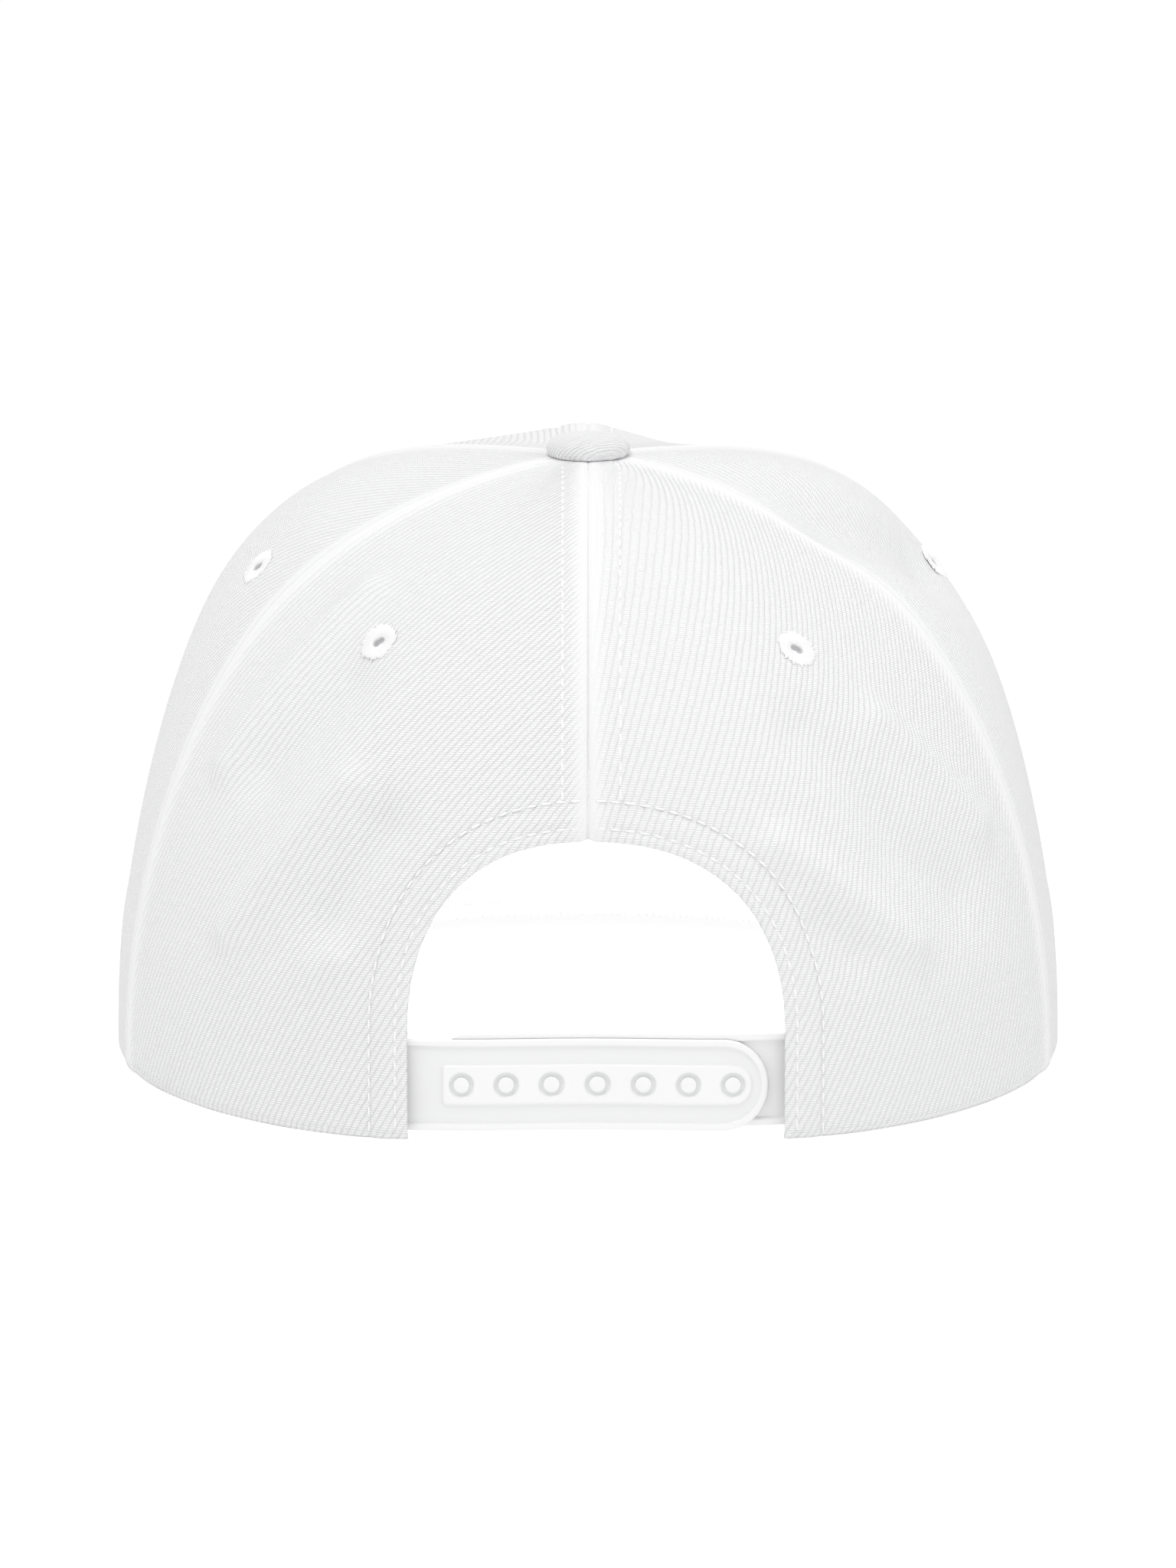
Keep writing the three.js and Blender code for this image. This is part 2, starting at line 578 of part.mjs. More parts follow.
const cap = new THREE.Group();
cap.name = "snapback_cap";
function add(name, solid, material) {
  const mesh = new THREE.Mesh(solid.isBufferGeometry ? solid : geometryOf(solid), material);
  mesh.name = name;
  cap.add(mesh);
}

const leftBackSeam = (lift) => -backSeam(lift);
const leftFrontSeam = (lift) => -frontSeam(lift);
const beyondFront = (lift) => 360 - frontSeam(lift);
const middleFront = () => 180;
const PANELS = {
  back_left: backPanel(-1),
  back_right: backPanel(1),
  side_left: panel(leftFrontSeam, leftBackSeam),
  side_right: panel(backSeam, frontSeam),
  front_left: panel(middleFront, beyondFront),
  front_right: panel(frontSeam, middleFront),
};
for (const row of EYELETS) {
  const seat = eyeletSeat(row);
  add(`${row.panel}_panel`, punched(PANELS[row.panel], seat), COTTON);
  add(`${row.panel}_eyelet`, eyelet(seat), THREAD);
}
add("button", button(), COTTON);
add("peak", peak(), COTTON);
add("sweatband", sweatband(), SOFT_COTTON);
add("hole_strap", holeStrap(), CLEAR_WHITE_PLASTIC);
add("stud_strap", studStrap(), CLEAR_WHITE_PLASTIC);

// The origin is on the surface, under the middle of the cap.
const extent = new THREE.Box3().setFromObject(cap);
const middle = extent.getCenter(new THREE.Vector3());
cap.position.set(-middle.x, -middle.y, -extent.min.z);

export default cap;
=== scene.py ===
import math

import bmesh
import bpy
import numpy as np
from mathutils import Matrix, Vector


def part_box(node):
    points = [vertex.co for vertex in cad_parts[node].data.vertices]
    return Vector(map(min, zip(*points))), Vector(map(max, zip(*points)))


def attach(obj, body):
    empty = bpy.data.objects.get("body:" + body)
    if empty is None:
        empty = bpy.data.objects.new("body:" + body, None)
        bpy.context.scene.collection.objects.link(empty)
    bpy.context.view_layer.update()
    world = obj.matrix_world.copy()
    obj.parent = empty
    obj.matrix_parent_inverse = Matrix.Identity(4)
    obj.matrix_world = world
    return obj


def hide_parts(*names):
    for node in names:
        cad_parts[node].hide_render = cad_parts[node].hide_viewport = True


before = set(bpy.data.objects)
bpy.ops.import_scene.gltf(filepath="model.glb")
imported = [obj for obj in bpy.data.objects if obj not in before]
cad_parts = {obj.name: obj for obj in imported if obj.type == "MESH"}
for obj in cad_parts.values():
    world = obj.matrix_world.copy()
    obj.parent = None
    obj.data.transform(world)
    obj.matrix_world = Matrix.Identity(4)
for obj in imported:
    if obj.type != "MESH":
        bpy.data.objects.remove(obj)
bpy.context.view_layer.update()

# A white six-panel snapback cap seen from behind, standing on its rim and the sides of its peak.
# Lengths below are millimetres from the crown's own upright axis, with the peak towards +Y.
MM = 0.001
DEGREE = math.pi / 180
button_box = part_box("button")
crown_axis = np.array([(button_box[0].x + button_box[1].x) / 2, (button_box[0].y + button_box[1].y) / 2, 0])

# The camera stands behind the cap, a little above it; its distance and the height of its aim are metres
CAMERA_ELEVATION = 12
CAMERA_DISTANCE = 1.5
CAMERA_LENS = 160.8
CAMERA_AIM_HEIGHT = 0.054


def add_camera():
    camera = bpy.data.objects.new("camera", bpy.data.cameras.new("camera"))
    camera.data.lens = CAMERA_LENS
    turn = CAMERA_ELEVATION * DEGREE
    back = Vector((0, -math.cos(turn), math.sin(turn)))
    aim = Vector(crown_axis) + Vector((0, 0, CAMERA_AIM_HEIGHT))
    camera.location = aim + back * CAMERA_DISTANCE
    camera.rotation_euler = (-back).to_track_quat("-Z", "Y").to_euler()
    bpy.context.scene.collection.objects.link(camera)
    bpy.context.scene.camera = camera


add_camera()

# The crown's form, the same sizes as the solids'
CROWN_HALF_WIDTH = 100.4
CROWN_BACK_REACH = 93
CROWN_FRONT_REACH = 86
CROWN_HEIGHT = 125.3
CLOTH_WALL = 1.8
SEAM_SAG = 1.2
BACK_SEAM_AZIMUTH = 69
BACK_SEAM_TOP = 60
FRONT_SEAM_AZIMUTH = 118
FRONT_SEAM_TOP = 120
SEAM_BEND_START = 45
HEM_LIFT_START = 52
HEM_LIFT_LEAD = 6
HEM_LIFT_POWER = 2.2
FOLD_FADE_LOW = 26
FOLD_FADE_HIGH = 37
BUTTON_SMOOTH_MARGIN = 16
TIP_ANGLE = 88.6

ARCH_TOP = 60
ARCH_SPRING = 21
ARCH_LEFT_WIDTH = 36.6
ARCH_RIGHT_WIDTH = 39.9
ARCH_FULLNESS = 2.4
ARCH_FAN = 22

PEAK_LENGTH = 70
PEAK_SIDE_INSET = 5.4
PEAK_WALL = 3.2
PEAK_CROSS_RISE = 6
PEAK_SLOPE = 0.035
PEAK_CORNER_AZIMUTH = 115
PEAK_CORNER_LIP = 1.5
PEAK_TAIL_TURN = 16
PEAK_WIDEST_BACK = 22
PEAK_FULLNESS = 2.6
SEAM_GAP = 0.3

# One row for each meridian, from the back (0) to the front (180), the same on both sides.
# reach: share of the plain half-ellipse's radius; fullness: exponent of the wall's curve;
# crest: how far the shoulder stands above that curve, as a share of the crown's height.
MERIDIANS = [
    {"azimuth": 0, "reach": 1.0, "fullness": 2.25, "crest": 0.0},
    {"azimuth": 30, "reach": 1.09, "fullness": 2.2, "crest": 0.0},
    {"azimuth": 60, "reach": 1.06, "fullness": 2.05, "crest": 0.015},
    {"azimuth": 90, "reach": 1.0, "fullness": 2.37, "crest": 0.045},
    {"azimuth": 120, "reach": 1.02, "fullness": 3.15, "crest": 0.005},
    {"azimuth": 150, "reach": 1.02, "fullness": 2.83, "crest": 0.02},
    {"azimuth": 180, "reach": 1.0, "fullness": 3.1, "crest": 0.045},
]
MERIDIAN_STEP = MERIDIANS[1]["azimuth"]

# Soft folds of the cloth: from one (azimuth, rise) to another, with the fold's width and push.
# The rises, widths and pushes are shares of the crown's height.
FOLDS = [
    {"start": (-49, 0.83), "end": (-58, 0.55), "width": 0.038, "push": 0.017},
    {"start": (-41, 0.7), "end": (-49, 0.56), "width": 0.06, "push": -0.02},
    {"start": (-34, 0.56), "end": (-47, 0.3), "width": 0.038, "push": 0.018},
    {"start": (-28, 0.5), "end": (-33, 0.36), "width": 0.05, "push": -0.022},
    {"start": (-31, 0.28), "end": (-33, 0.25), "width": 0.04, "push": 0.014},
    {"start": (25, 0.47), "end": (41, 0.29), "width": 0.036, "push": 0.018},
    {"start": (47, 0.64), "end": (59, 0.45), "width": 0.036, "push": 0.015},
    {"start": (33, 0.64), "end": (40, 0.53), "width": 0.06, "push": -0.019},
    {"start": (43, 0.45), "end": (51, 0.36), "width": 0.065, "push": -0.02},
    {"start": (29, 0.34), "end": (33, 0.29), "width": 0.036, "push": -0.012},
    {"start": (82, 0.92), "end": (98, 0.82), "width": 0.11, "push": -0.052},
    {"start": (-150, 0.97), "end": (-140, 0.94), "width": 0.11, "push": 0.015},
    {"start": (-95, 0.9), "end": (-95, 0.8), "width": 0.17, "push": 0.01},
]

# One row for each panel's sewn eyelet; rise is a share of the crown's height, tilt turns its oval hole.
EYELETS = [
    {"panel": "back_left", "azimuth": -38, "rise": 0.77, "tilt": 35},
    {"panel": "back_right", "azimuth": 37, "rise": 0.76, "tilt": -35},
    {"panel": "side_left", "azimuth": -84, "rise": 0.82, "tilt": 50},
    {"panel": "side_right", "azimuth": 109, "rise": 0.79, "tilt": -50},
    {"panel": "front_left", "azimuth": 211, "rise": 0.86, "tilt": 0},
    {"panel": "front_right", "azimuth": 149, "rise": 0.86, "tilt": 0},
]

# Seams and stitching
SEAM_TOUCH = 0.04
GROOVE_DEPTH = 0.45
GROOVE_WIDTH = 0.6
WELT_RISE = 0.32
WELT_WIDTH = 5.2
WELT_SLOPE = 2.2
ROW_DENT = 0.3
ROW_DENT_WIDTH = 0.8
SIDE_WELT_WIDTH = 1.6
SIDE_RIDGE = 0.2
SIDE_RIDGE_WIDTH = 0.45
CALM_WIDTH = 2.6
RELIEF_FROM_AXIS = 5
RELIEF_GROWTH = 8
CENTRE_ROWS_AT = (-5.2, 6.5)
ARCH_ROWS_AT = (2.5, 7.8)
ARCH_HEM_RISE = 0.25
ARCH_HEM_WIDTH = 4
ARCH_HEM_SLOPE = 6
ROWS_CLEAR_OF_AXIS = 9.6
ROWS_CLEAR_OF_ARCH = 4
EDGE_ROLL = 1.3
EDGE_ROLL_DEPTH = 0.8
STITCH_PITCH = 3.0
STITCH_LENGTH = 2.5
STITCH_WIDTH = 0.55
STITCH_RISE = 0.4

PANEL_COLUMNS = 112
PANEL_ROWS = 136
ROWS_BESIDE_ARCH = 0.52
EYELET_OPENING = 2.3


def mix(a, b, t):
    return a + (b - a) * t


def ease(t):
    t = np.clip(t, 0, 1)
    return t * t * (3 - 2 * t)


def rounded(value, exponent):
    return np.sign(value) * np.abs(value) ** exponent


def bump(distance, width):
    return np.exp(-((distance / width) ** 2))


def length_of(vectors):
    return np.linalg.norm(vectors, axis=-1)


def unit(vectors):
    return vectors / length_of(vectors)[..., None]


def turned(azimuth):
    """An azimuth as an angle away from the middle of the back, from 0 to 180."""
    return np.abs((azimuth + 180) % 360 - 180)


def meridian(column, azimuth):
    """A column of MERIDIANS at any azimuth, on a smooth curve through the rows."""
    values = np.array([row[column] for row in MERIDIANS])
    last = len(values) - 1
    i = np.minimum(last - 1, turned(azimuth) // MERIDIAN_STEP).astype(int)
    t = turned(azimuth) / MERIDIAN_STEP - i
    a, b, c, d = (values[last - np.abs(last - np.abs(i + k))] for k in (-1, 0, 1, 2))
    return (2 * b + (c - a) * t + (2 * a - 5 * b + 4 * c - d) * t**2 + (3 * b - a - 3 * c + d) * t**3) / 2


def rim_radius(azimuth):
    s, c = np.sin(azimuth * DEGREE), np.cos(azimuth * DEGREE)
    reach = np.where(c > 0, CROWN_BACK_REACH, CROWN_FRONT_REACH)
    return meridian("reach", azimuth) / np.hypot(s / CROWN_HALF_WIDTH, c / reach)


peak_tip = CROWN_FRONT_REACH + PEAK_LENGTH
peak_half_width = CROWN_HALF_WIDTH - PEAK_SIDE_INSET
peak_widest = CROWN_FRONT_REACH - PEAK_WIDEST_BACK


def peak_edge(share):
    """The peak's outer edge in plan, from its right corner (-1) past the front (0) to its left corner (1)."""
    turn = np.abs(share) * (90 + PEAK_TAIL_TURN)
    tail = np.maximum(0, turn - 90) / PEAK_TAIL_TURN
    s, c = np.sin(np.minimum(turn, 90) * DEGREE), np.cos(np.minimum(turn, 90) * DEGREE)
    corner = rim_radius(PEAK_CORNER_AZIMUTH) + PEAK_CORNER_LIP
    corner_x = corner * math.sin(PEAK_CORNER_AZIMUTH * DEGREE)
    corner_y = -corner * math.cos(PEAK_CORNER_AZIMUTH * DEGREE)
    x = mix(peak_half_width * rounded(s, 2 / PEAK_FULLNESS), corner_x, tail**2)
    y = peak_widest + (peak_tip - peak_widest) * rounded(np.maximum(0, c), 2 / PEAK_FULLNESS)
    return -np.sign(share) * x, mix(y, corner_y, tail)


def peak_arch(x, y):
    return PEAK_CROSS_RISE * (1 - (x / peak_half_width) ** 2) + PEAK_SLOPE * (peak_tip - y)


peak_lowest = peak_arch(*peak_edge(np.linspace(-1, 1, 31))).min()


def peak_under(x, y):
    """The height of the peak's underside."""
    return peak_arch(x, y) - peak_lowest


def hem_height(azimuth):
    """The height of the crown's hem: on the surface at the back, on top of the peak at the front."""
    on_peak = np.maximum(turned(azimuth), PEAK_CORNER_AZIMUTH)
    r = rim_radius(on_peak)
    under = peak_under(r * np.sin(on_peak * DEGREE), -r * np.cos(on_peak * DEGREE))
    reach = PEAK_CORNER_AZIMUTH - HEM_LIFT_LEAD - HEM_LIFT_START
    rise = np.clip((turned(azimuth) - HEM_LIFT_START) / reach, 0, 1) ** HEM_LIFT_POWER
    return (under + PEAK_WALL + SEAM_GAP) * rise


def seam_azimuth(rim, button, lift):
    return mix(rim, button, ease((lift - SEAM_BEND_START) / (90 - SEAM_BEND_START)))


def back_seam(lift):
    return seam_azimuth(BACK_SEAM_AZIMUTH, BACK_SEAM_TOP, lift)


def front_seam(lift):
    return seam_azimuth(FRONT_SEAM_AZIMUTH, FRONT_SEAM_TOP, lift)


def plain_point(azimuth, lift):
    """A point of the unfolded crown. lift is 0 at the rim and 90 at the button."""
    azimuth, lift = np.broadcast_arrays(np.asarray(azimuth, float), np.asarray(lift, float))
    power = 2 / meridian("fullness", azimuth)
    share = np.maximum(0, np.cos(lift * DEGREE)) ** power
    r = rim_radius(azimuth) * share
    hem = hem_height(azimuth)
    shoulder = CROWN_HEIGHT * meridian("crest", azimuth) * 4 * share**2 * (1 - share**2)
    z = hem + (CROWN_HEIGHT - hem) * np.maximum(0, np.sin(lift * DEGREE)) ** power + shoulder
    return np.stack([r * np.sin(azimuth * DEGREE), -r * np.cos(azimuth * DEGREE), z], axis=-1)


def lift_at(azimuth, height):
    """The lift at which the crown reaches a height, by halving."""
    low, high = np.zeros(np.shape(azimuth)), np.full(np.shape(azimuth), 89.0)
    for _ in range(26):
        middle = (low + high) / 2
        below = plain_point(azimuth, middle)[..., 2] < height
        low, high = np.where(below, middle, low), np.where(below, high, middle)
    return (low + high) / 2


def back_place(x, height):
    """The azimuth and lift of the back of the crown where it stands x from the middle at a height."""
    azimuth = np.zeros(np.shape(x))
    for _ in range(10):
        r = length_of(plain_point(azimuth, lift_at(azimuth, height))[..., :2])
        azimuth = np.arcsin(x / r) / DEGREE
    return azimuth, lift_at(azimuth, height)


def on_crown(azimuth, rise):
    return plain_point(azimuth, lift_at(azimuth, rise * CROWN_HEIGHT))


FOLD_LINES = [(on_crown(*fold["start"]), on_crown(*fold["end"])) for fold in FOLDS]


def push_out(azimuth, lift, place):
    """How far the folds and the sag of each panel between its seams push the cloth out."""
    side = turned(azimuth)
    back, front = back_seam(lift), front_seam(lift)
    low = np.where(side < back, 0, np.where(side < front, back, front))
    high = np.where(side < back, back, np.where(side < front, front, 180))
    across = (side - low) / (high - low)
    push = -SEAM_SAG * 4 * across * (1 - across) * np.sin(lift * 2 * DEGREE)
    for fold, (start, end) in zip(FOLDS, FOLD_LINES):
        along = end - start
        share = np.clip((place - start) @ along / (along @ along), 0, 1)
        away = length_of(place - start - share[..., None] * along)
        push += fold["push"] * CROWN_HEIGHT * bump(away, fold["width"] * CROWN_HEIGHT)
    above_plain = ease((place[..., 2] - FOLD_FADE_LOW) / (FOLD_FADE_HIGH - FOLD_FADE_LOW))
    button_radius = 1000 * (button_box[1].x - button_box[0].x) / 2
    return push * above_plain * ease((length_of(place[..., :2]) - button_radius) / BUTTON_SMOOTH_MARGIN)


def normal_at(azimuth, lift):
    """The way out of the unfolded crown, level at the rim."""
    low = np.maximum(0.5, lift - 0.2)
    along = plain_point(azimuth + 0.2, low) - plain_point(azimuth - 0.2, low)
    up = plain_point(azimuth, low + 0.2) - plain_point(azimuth, low - 0.2)
    out = np.cross(along, up)
    out[..., 2] = np.where(np.asarray(lift) <= 0, 0, out[..., 2])
    return unit(out)


def crown_point(azimuth, lift, rise=0.0):
    """A point of the folded crown, rise outside its outer face."""
    azimuth, lift = np.broadcast_arrays(np.asarray(azimuth, float), np.asarray(lift, float))
    place = plain_point(azimuth, lift)
    push = push_out(azimuth, lift, place) + rise
    return place + normal_at(azimuth, lift) * push[..., None]


def arch_curve(side, share):
    """x and height of the back opening's edge, from its top (0) to the rim (1), on one side."""
    straight = ARCH_SPRING / (ARCH_SPRING + ARCH_TOP)
    turn = np.clip(share / (1 - straight), 0, 1) * 90 * DEGREE
    width = ARCH_RIGHT_WIDTH if side > 0 else ARCH_LEFT_WIDTH
    x = side * np.maximum(SEAM_TOUCH, width * rounded(np.sin(turn), 2 / ARCH_FULLNESS))
    curve = (ARCH_TOP - ARCH_SPRING) * rounded(np.maximum(0, np.cos(turn)), 2 / ARCH_FULLNESS)
    return x, ARCH_SPRING + curve - ARCH_SPRING * np.clip((share - 1 + straight) / straight, 0, 1)


def arch_row(side, away):
    """A line of the crown that keeps a distance from the opening's edge, as azimuths and lifts."""
    x, height = arch_curve(side, np.linspace(0, 1, 160))
    across, up = np.gradient(x), np.gradient(height)
    step = np.hypot(across, up)
    x, height = x - side * up / step * away, height + side * across / step * away
    keep = (x * side > 0.2) & (height >= 0.5)
    return back_place(x[keep], height[keep])


ARCH_EDGE = [plain_point(*back_place(*arch_curve(side, np.linspace(0, 1, 260)))) for side in (-1, 1)]


def arch_distance(place, side):
    """How far places on the plain crown are from the opening's edge."""
    edge = ARCH_EDGE[side > 0]
    return np.array([length_of(edge - point).min() for point in place])


def arc_length(azimuth, lift, steps=24):
    """How far up the plain crown's cloth a place is from the rim."""
    run = [plain_point(azimuth, lift * k / steps) for k in range(steps + 1)]
    return sum(length_of(b - a) for a, b in zip(run, run[1:]))


def from_centre_line(azimuth, r):
    """How far right of the back's or left of the front's centre seam a place is."""
    return r * ((azimuth + 90) % 180 - 90) * DEGREE


def centre_relief(distance):
    """A centre seam's groove, the raised allowance beside it, and the dents of its stitch rows."""
    welt = WELT_RISE * (1 - ease((np.abs(distance) - WELT_WIDTH) / WELT_SLOPE))
    groove = GROOVE_DEPTH * bump(distance, GROOVE_WIDTH)
    return welt - groove - sum(ROW_DENT * bump(distance - row, ROW_DENT_WIDTH) for row in CENTRE_ROWS_AT)


def side_relief(distance):
    """A side seam's raised allowance and the fine ridge where its panels meet."""
    welt = WELT_RISE * (1 - ease((distance - SIDE_WELT_WIDTH) / WELT_SLOPE))
    return welt + SIDE_RIDGE * bump(distance, SIDE_RIDGE_WIDTH)


def seam_distance(azimuth, lift):
    """How far a place is from the nearest seam between two panels."""
    r = length_of(plain_point(azimuth, lift)[..., :2])
    side = turned(azimuth)
    to_side = np.minimum(np.abs(side - back_seam(lift)), np.abs(side - front_seam(lift)))
    return r * np.minimum(to_side, np.minimum(side, 180 - side)) * DEGREE


def edge_relief(distance, rows=()):
    """A folded edge, which rolls in at the very end, and the dents of its stitch rows."""
    roll = EDGE_ROLL_DEPTH * np.clip(1 - distance / EDGE_ROLL, 0, 1) ** 2
    return -roll - sum(ROW_DENT * bump(distance - row, ROW_DENT_WIDTH) for row in rows)


def crown_relief(azimuth, lift):
    """Seams and stitch dents of the whole crown."""
    place = plain_point(azimuth, lift)
    r = length_of(place[..., :2])
    side = turned(azimuth)
    arch_lift = lift_at(np.zeros(()), ARCH_TOP)
    above_arch = np.where(side < 90, ease((lift - arch_lift) / 2), 1)
    centre = centre_relief(from_centre_line(azimuth, r)) * above_arch
    others = sum(side_relief(r * np.abs(side - at) * DEGREE) for at in (back_seam(lift), front_seam(lift)))
    near_button = ease((r - RELIEF_FROM_AXIS) / RELIEF_GROWTH)
    return (centre + others) * near_button


def in_metres(points):
    """Places about the crown's axis, in millimetres, as places in the frame."""
    return np.asarray(points) * MM + crown_axis


def sheet(columns, rows):
    """A flat grid, and how far across and up each of its vertices lies, from 0 to 1."""
    bm = bmesh.new()
    bmesh.ops.create_grid(bm, x_segments=columns, y_segments=rows, size=0.5)
    flat = np.array([vert.co[:] for vert in bm.verts])
    return bm, np.clip(flat[:, 0] + 0.5, 0, 1), np.clip(flat[:, 1] + 0.5, 0, 1)


def place_verts(bm, points):
    for vert, point in zip(bm.verts, in_metres(points)):
        vert.co = point


def lay_cloth(bm, across, up):
    """Gives a sheet a map of its own cloth, in millimetres."""
    layer = bm.loops.layers.uv.new("cloth")
    bm.verts.index_update()
    for face in bm.faces:
        for loop in face.loops:
            loop[layer].uv = (across[loop.vert.index], up[loop.vert.index])


def add_piece(name, bm, material, nodes=()):
    mesh = bpy.data.meshes.new(name)
    bm.to_mesh(mesh)
    bm.free()
    mesh.materials.append(material)
    mesh.shade_smooth()
    piece = bpy.data.objects.new(name, mesh)
    bpy.context.scene.collection.objects.link(piece)
    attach(piece, "root")
    if nodes:
        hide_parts(*nodes)
    return piece


def note(bm, name, values):
    """Keeps a number at each vertex, for a material to read."""
    layer = bm.verts.layers.float.new(name)
    for vert, value in zip(bm.verts, values):
        vert[layer] = value


def join(bm, other):
    """Adds a second bmesh to the first, and frees it."""
    mesh = bpy.data.meshes.new("joined")
    other.to_mesh(mesh)
    other.free()
    bm.from_mesh(mesh)
    bpy.data.meshes.remove(mesh)


def face_outwards(bm):
    bmesh.ops.remove_doubles(bm, verts=bm.verts, dist=0.002 * MM)
    bmesh.ops.recalc_face_normals(bm, faces=bm.faces)


class Wire:
    """One value in a material's nodes. Arithmetic on wires adds Math nodes."""

    def __init__(self, tree, socket=None):
        self.tree = tree
        self.socket = socket

    def node(self, kind, settings, inputs, output=0):
        made = self.tree.nodes.new(kind)
        for key, value in settings.items():
            setattr(made, key, value)
        for key, value in inputs.items():
            if isinstance(value, Wire):
                self.tree.links.new(value.socket, made.inputs[key])
            else:
                made.inputs[key].default_value = value
        return Wire(self.tree, made.outputs[output])

    def maths(self, operation, *values):
        return self.node("ShaderNodeMath", {"operation": operation}, dict(enumerate(values)))

    def __add__(self, other):
        return self.maths("ADD", self, other)

    def __sub__(self, other):
        return self.maths("SUBTRACT", self, other)

    def __rsub__(self, other):
        return self.maths("SUBTRACT", other, self)

    def __mul__(self, other):
        return self.maths("MULTIPLY", self, other)

    def sine(self):
        return self.maths("SINE", self)

    def to_power(self, exponent):
        return self.maths("POWER", self, exponent)

    def size(self):
        return self.maths("ABSOLUTE", self)

    def noise(self, scale, detail):
        """Cloudy noise over this place."""
        return self.node("ShaderNodeTexNoise", {}, {"Vector": self, "Scale": scale, "Detail": detail})

    def noted(self, name):
        """A number kept at each vertex by note()."""
        return self.node("ShaderNodeAttribute", {"attribute_name": name}, {}, 2)

    def between(self, low, high):
        """The colour that lies this far from one colour to another."""
        low, high = (value if isinstance(value, Wire) else (*value, 1) for value in (low, high))
        return self.node("ShaderNodeMix", {"data_type": "RGBA"}, {0: self, 6: low, 7: high}, 2)

    def raised(self, strength, distance):
        """The surface's normal where this is its height."""
        return self.node("ShaderNodeBump", {}, {"Height": self, "Strength": strength, "Distance": distance})

    __radd__ = __add__
    __rmul__ = __mul__


def new_material(name, constants):
    """A material whose shader has these constants, with its Principled node and a first wire."""
    material = bpy.data.materials.new(name)
    material.use_nodes = True
    shader = material.node_tree.nodes["Principled BSDF"]
    for key, value in constants.items():
        shader.inputs[key].default_value = value
    return material, shader, Wire(material.node_tree)


def link(wire, shader, name):
    wire.tree.links.new(wire.socket, shader.inputs[name])


TWILL_PITCH = 1.3
TWILL_THREAD = 0.55
TWILL_ANGLE = 62
TWILL_RELIEF = 0.26 * MM
CLOTH_WHITE = (0.93, 0.93, 0.935)
# Painted shade at the bottom of the twill's grooves
CLOTH_PAINTED_GROOVE_SHADE = (0.79, 0.79, 0.8)
THREAD_WHITE = (0.94, 0.94, 0.94)
THREAD_SHADE = (0.88, 0.88, 0.885)
HOLE_PAINTED_SHADE = (0.55, 0.55, 0.56)
PLASTIC_WHITE = (0.905, 0.905, 0.905)
PLASTIC_PAINTED_SHADE = (0.785, 0.79, 0.795)


def twill(name, angle, pitch=TWILL_PITCH, thread=TWILL_THREAD, painted_groove_shade=CLOTH_PAINTED_GROOVE_SHADE):
    """White cotton twill: slanted ribs of short floating threads, on the piece's own cloth map, with painted
    shade darkening its colour in the grooves between the ribs.
    """
    constants = {"Roughness": 0.88, "Sheen Weight": 0.25, "Sheen Roughness": 0.5}
    material, shader, start = new_material(name, constants)
    mapped = start.node("ShaderNodeUVMap", {"uv_map": "cloth"}, {})
    place = start.node("ShaderNodeMapping", {}, {"Vector": mapped, "Rotation": (0, 0, -angle * DEGREE)})
    along = start.node("ShaderNodeSeparateXYZ", {}, {"Vector": place}, 0)
    across = start.node("ShaderNodeSeparateXYZ", {}, {"Vector": place}, 1) + 0.5 * mapped.noise(0.35, 2.0)
    rib = (across * (math.pi / pitch)).sine().size().to_power(0.7)
    float_run = ((along + 0.5 * across) * (math.pi / thread)).sine().size().to_power(0.6)
    calm = start.noted("calm")
    weave = (rib * 0.48 + rib * float_run * 0.52) * (1 - calm) + 0.3 * calm
    fuzz = mapped.noise(2.2, 3.0)
    link((weave + 0.35 * fuzz).raised(1.0, TWILL_RELIEF), shader, "Normal")
    # Painted shade: the colour darkens where the weave is low, with random fuzz on top
    link((weave * 0.9 + 0.2 * fuzz).between(painted_groove_shade, CLOTH_WHITE), shader, "Base Color")
    return material


def thread_finish():
    """Bright embroidery and sewing thread, finely twisted, with painted shade darkening it down inside the
    eyelets' holes.
    """
    material, shader, start = new_material("sewing_thread", {"Roughness": 0.55, "Sheen Weight": 0.2})
    strands = start.node("ShaderNodeTexCoord", {}, {}, 3).noise(3000.0, 2.0)
    link(strands.raised(0.5, 0.05 * MM), shader, "Normal")
    tone = strands.between(THREAD_SHADE, THREAD_WHITE)
    link(start.noted("hole_painted_shade").between(tone, HOLE_PAINTED_SHADE), shader, "Base Color")
    return material


def frosted_plastic():
    """Milky white moulded plastic with a satin face and faint flow marks, its colour painted darker in the
    sunk rings and thin field and paler on the raised rims, as painted shade and highlight.
    """
    material, shader, start = new_material("frosted_plastic", {"IOR": 1.45})
    place = start.node("ShaderNodeTexCoord", {}, {}, 3)
    flow = place.noise(60.0, 3.0)
    link(0.24 + 0.14 * flow, shader, "Roughness")
    link(place.noise(2500.0, 2.0).raised(0.25, 0.02 * MM), shader, "Normal")
    link((start.noted("painted_light_tone") + 0.1 * flow).between(PLASTIC_PAINTED_SHADE, PLASTIC_WHITE), shader, "Base Color")
    return material


PANEL_TWILL = twill("panel_twill", TWILL_ANGLE)
THREAD = thread_finish()
PLASTIC = frosted_plastic()
# The button's twill has no painted groove shade, so it is painted paler than the same cloth on the panels, as
# painted light
BUTTON_TWILL = twill("button_twill", 30, 0.9, 0.5, CLOTH_WHITE)
PEAK_TWILL = twill("peak_twill", 52)
BAND_TWILL = twill("band_twill", 90, 0.7, 0.7)


def lift_of(polar, azimuth):
    """The lift whose place on the crown's curve stands at a polar angle, which spaces the rows evenly."""
    fullness = meridian("fullness", azimuth)
    return np.arctan(np.tan(polar * DEGREE) ** (fullness / 2)) / DEGREE


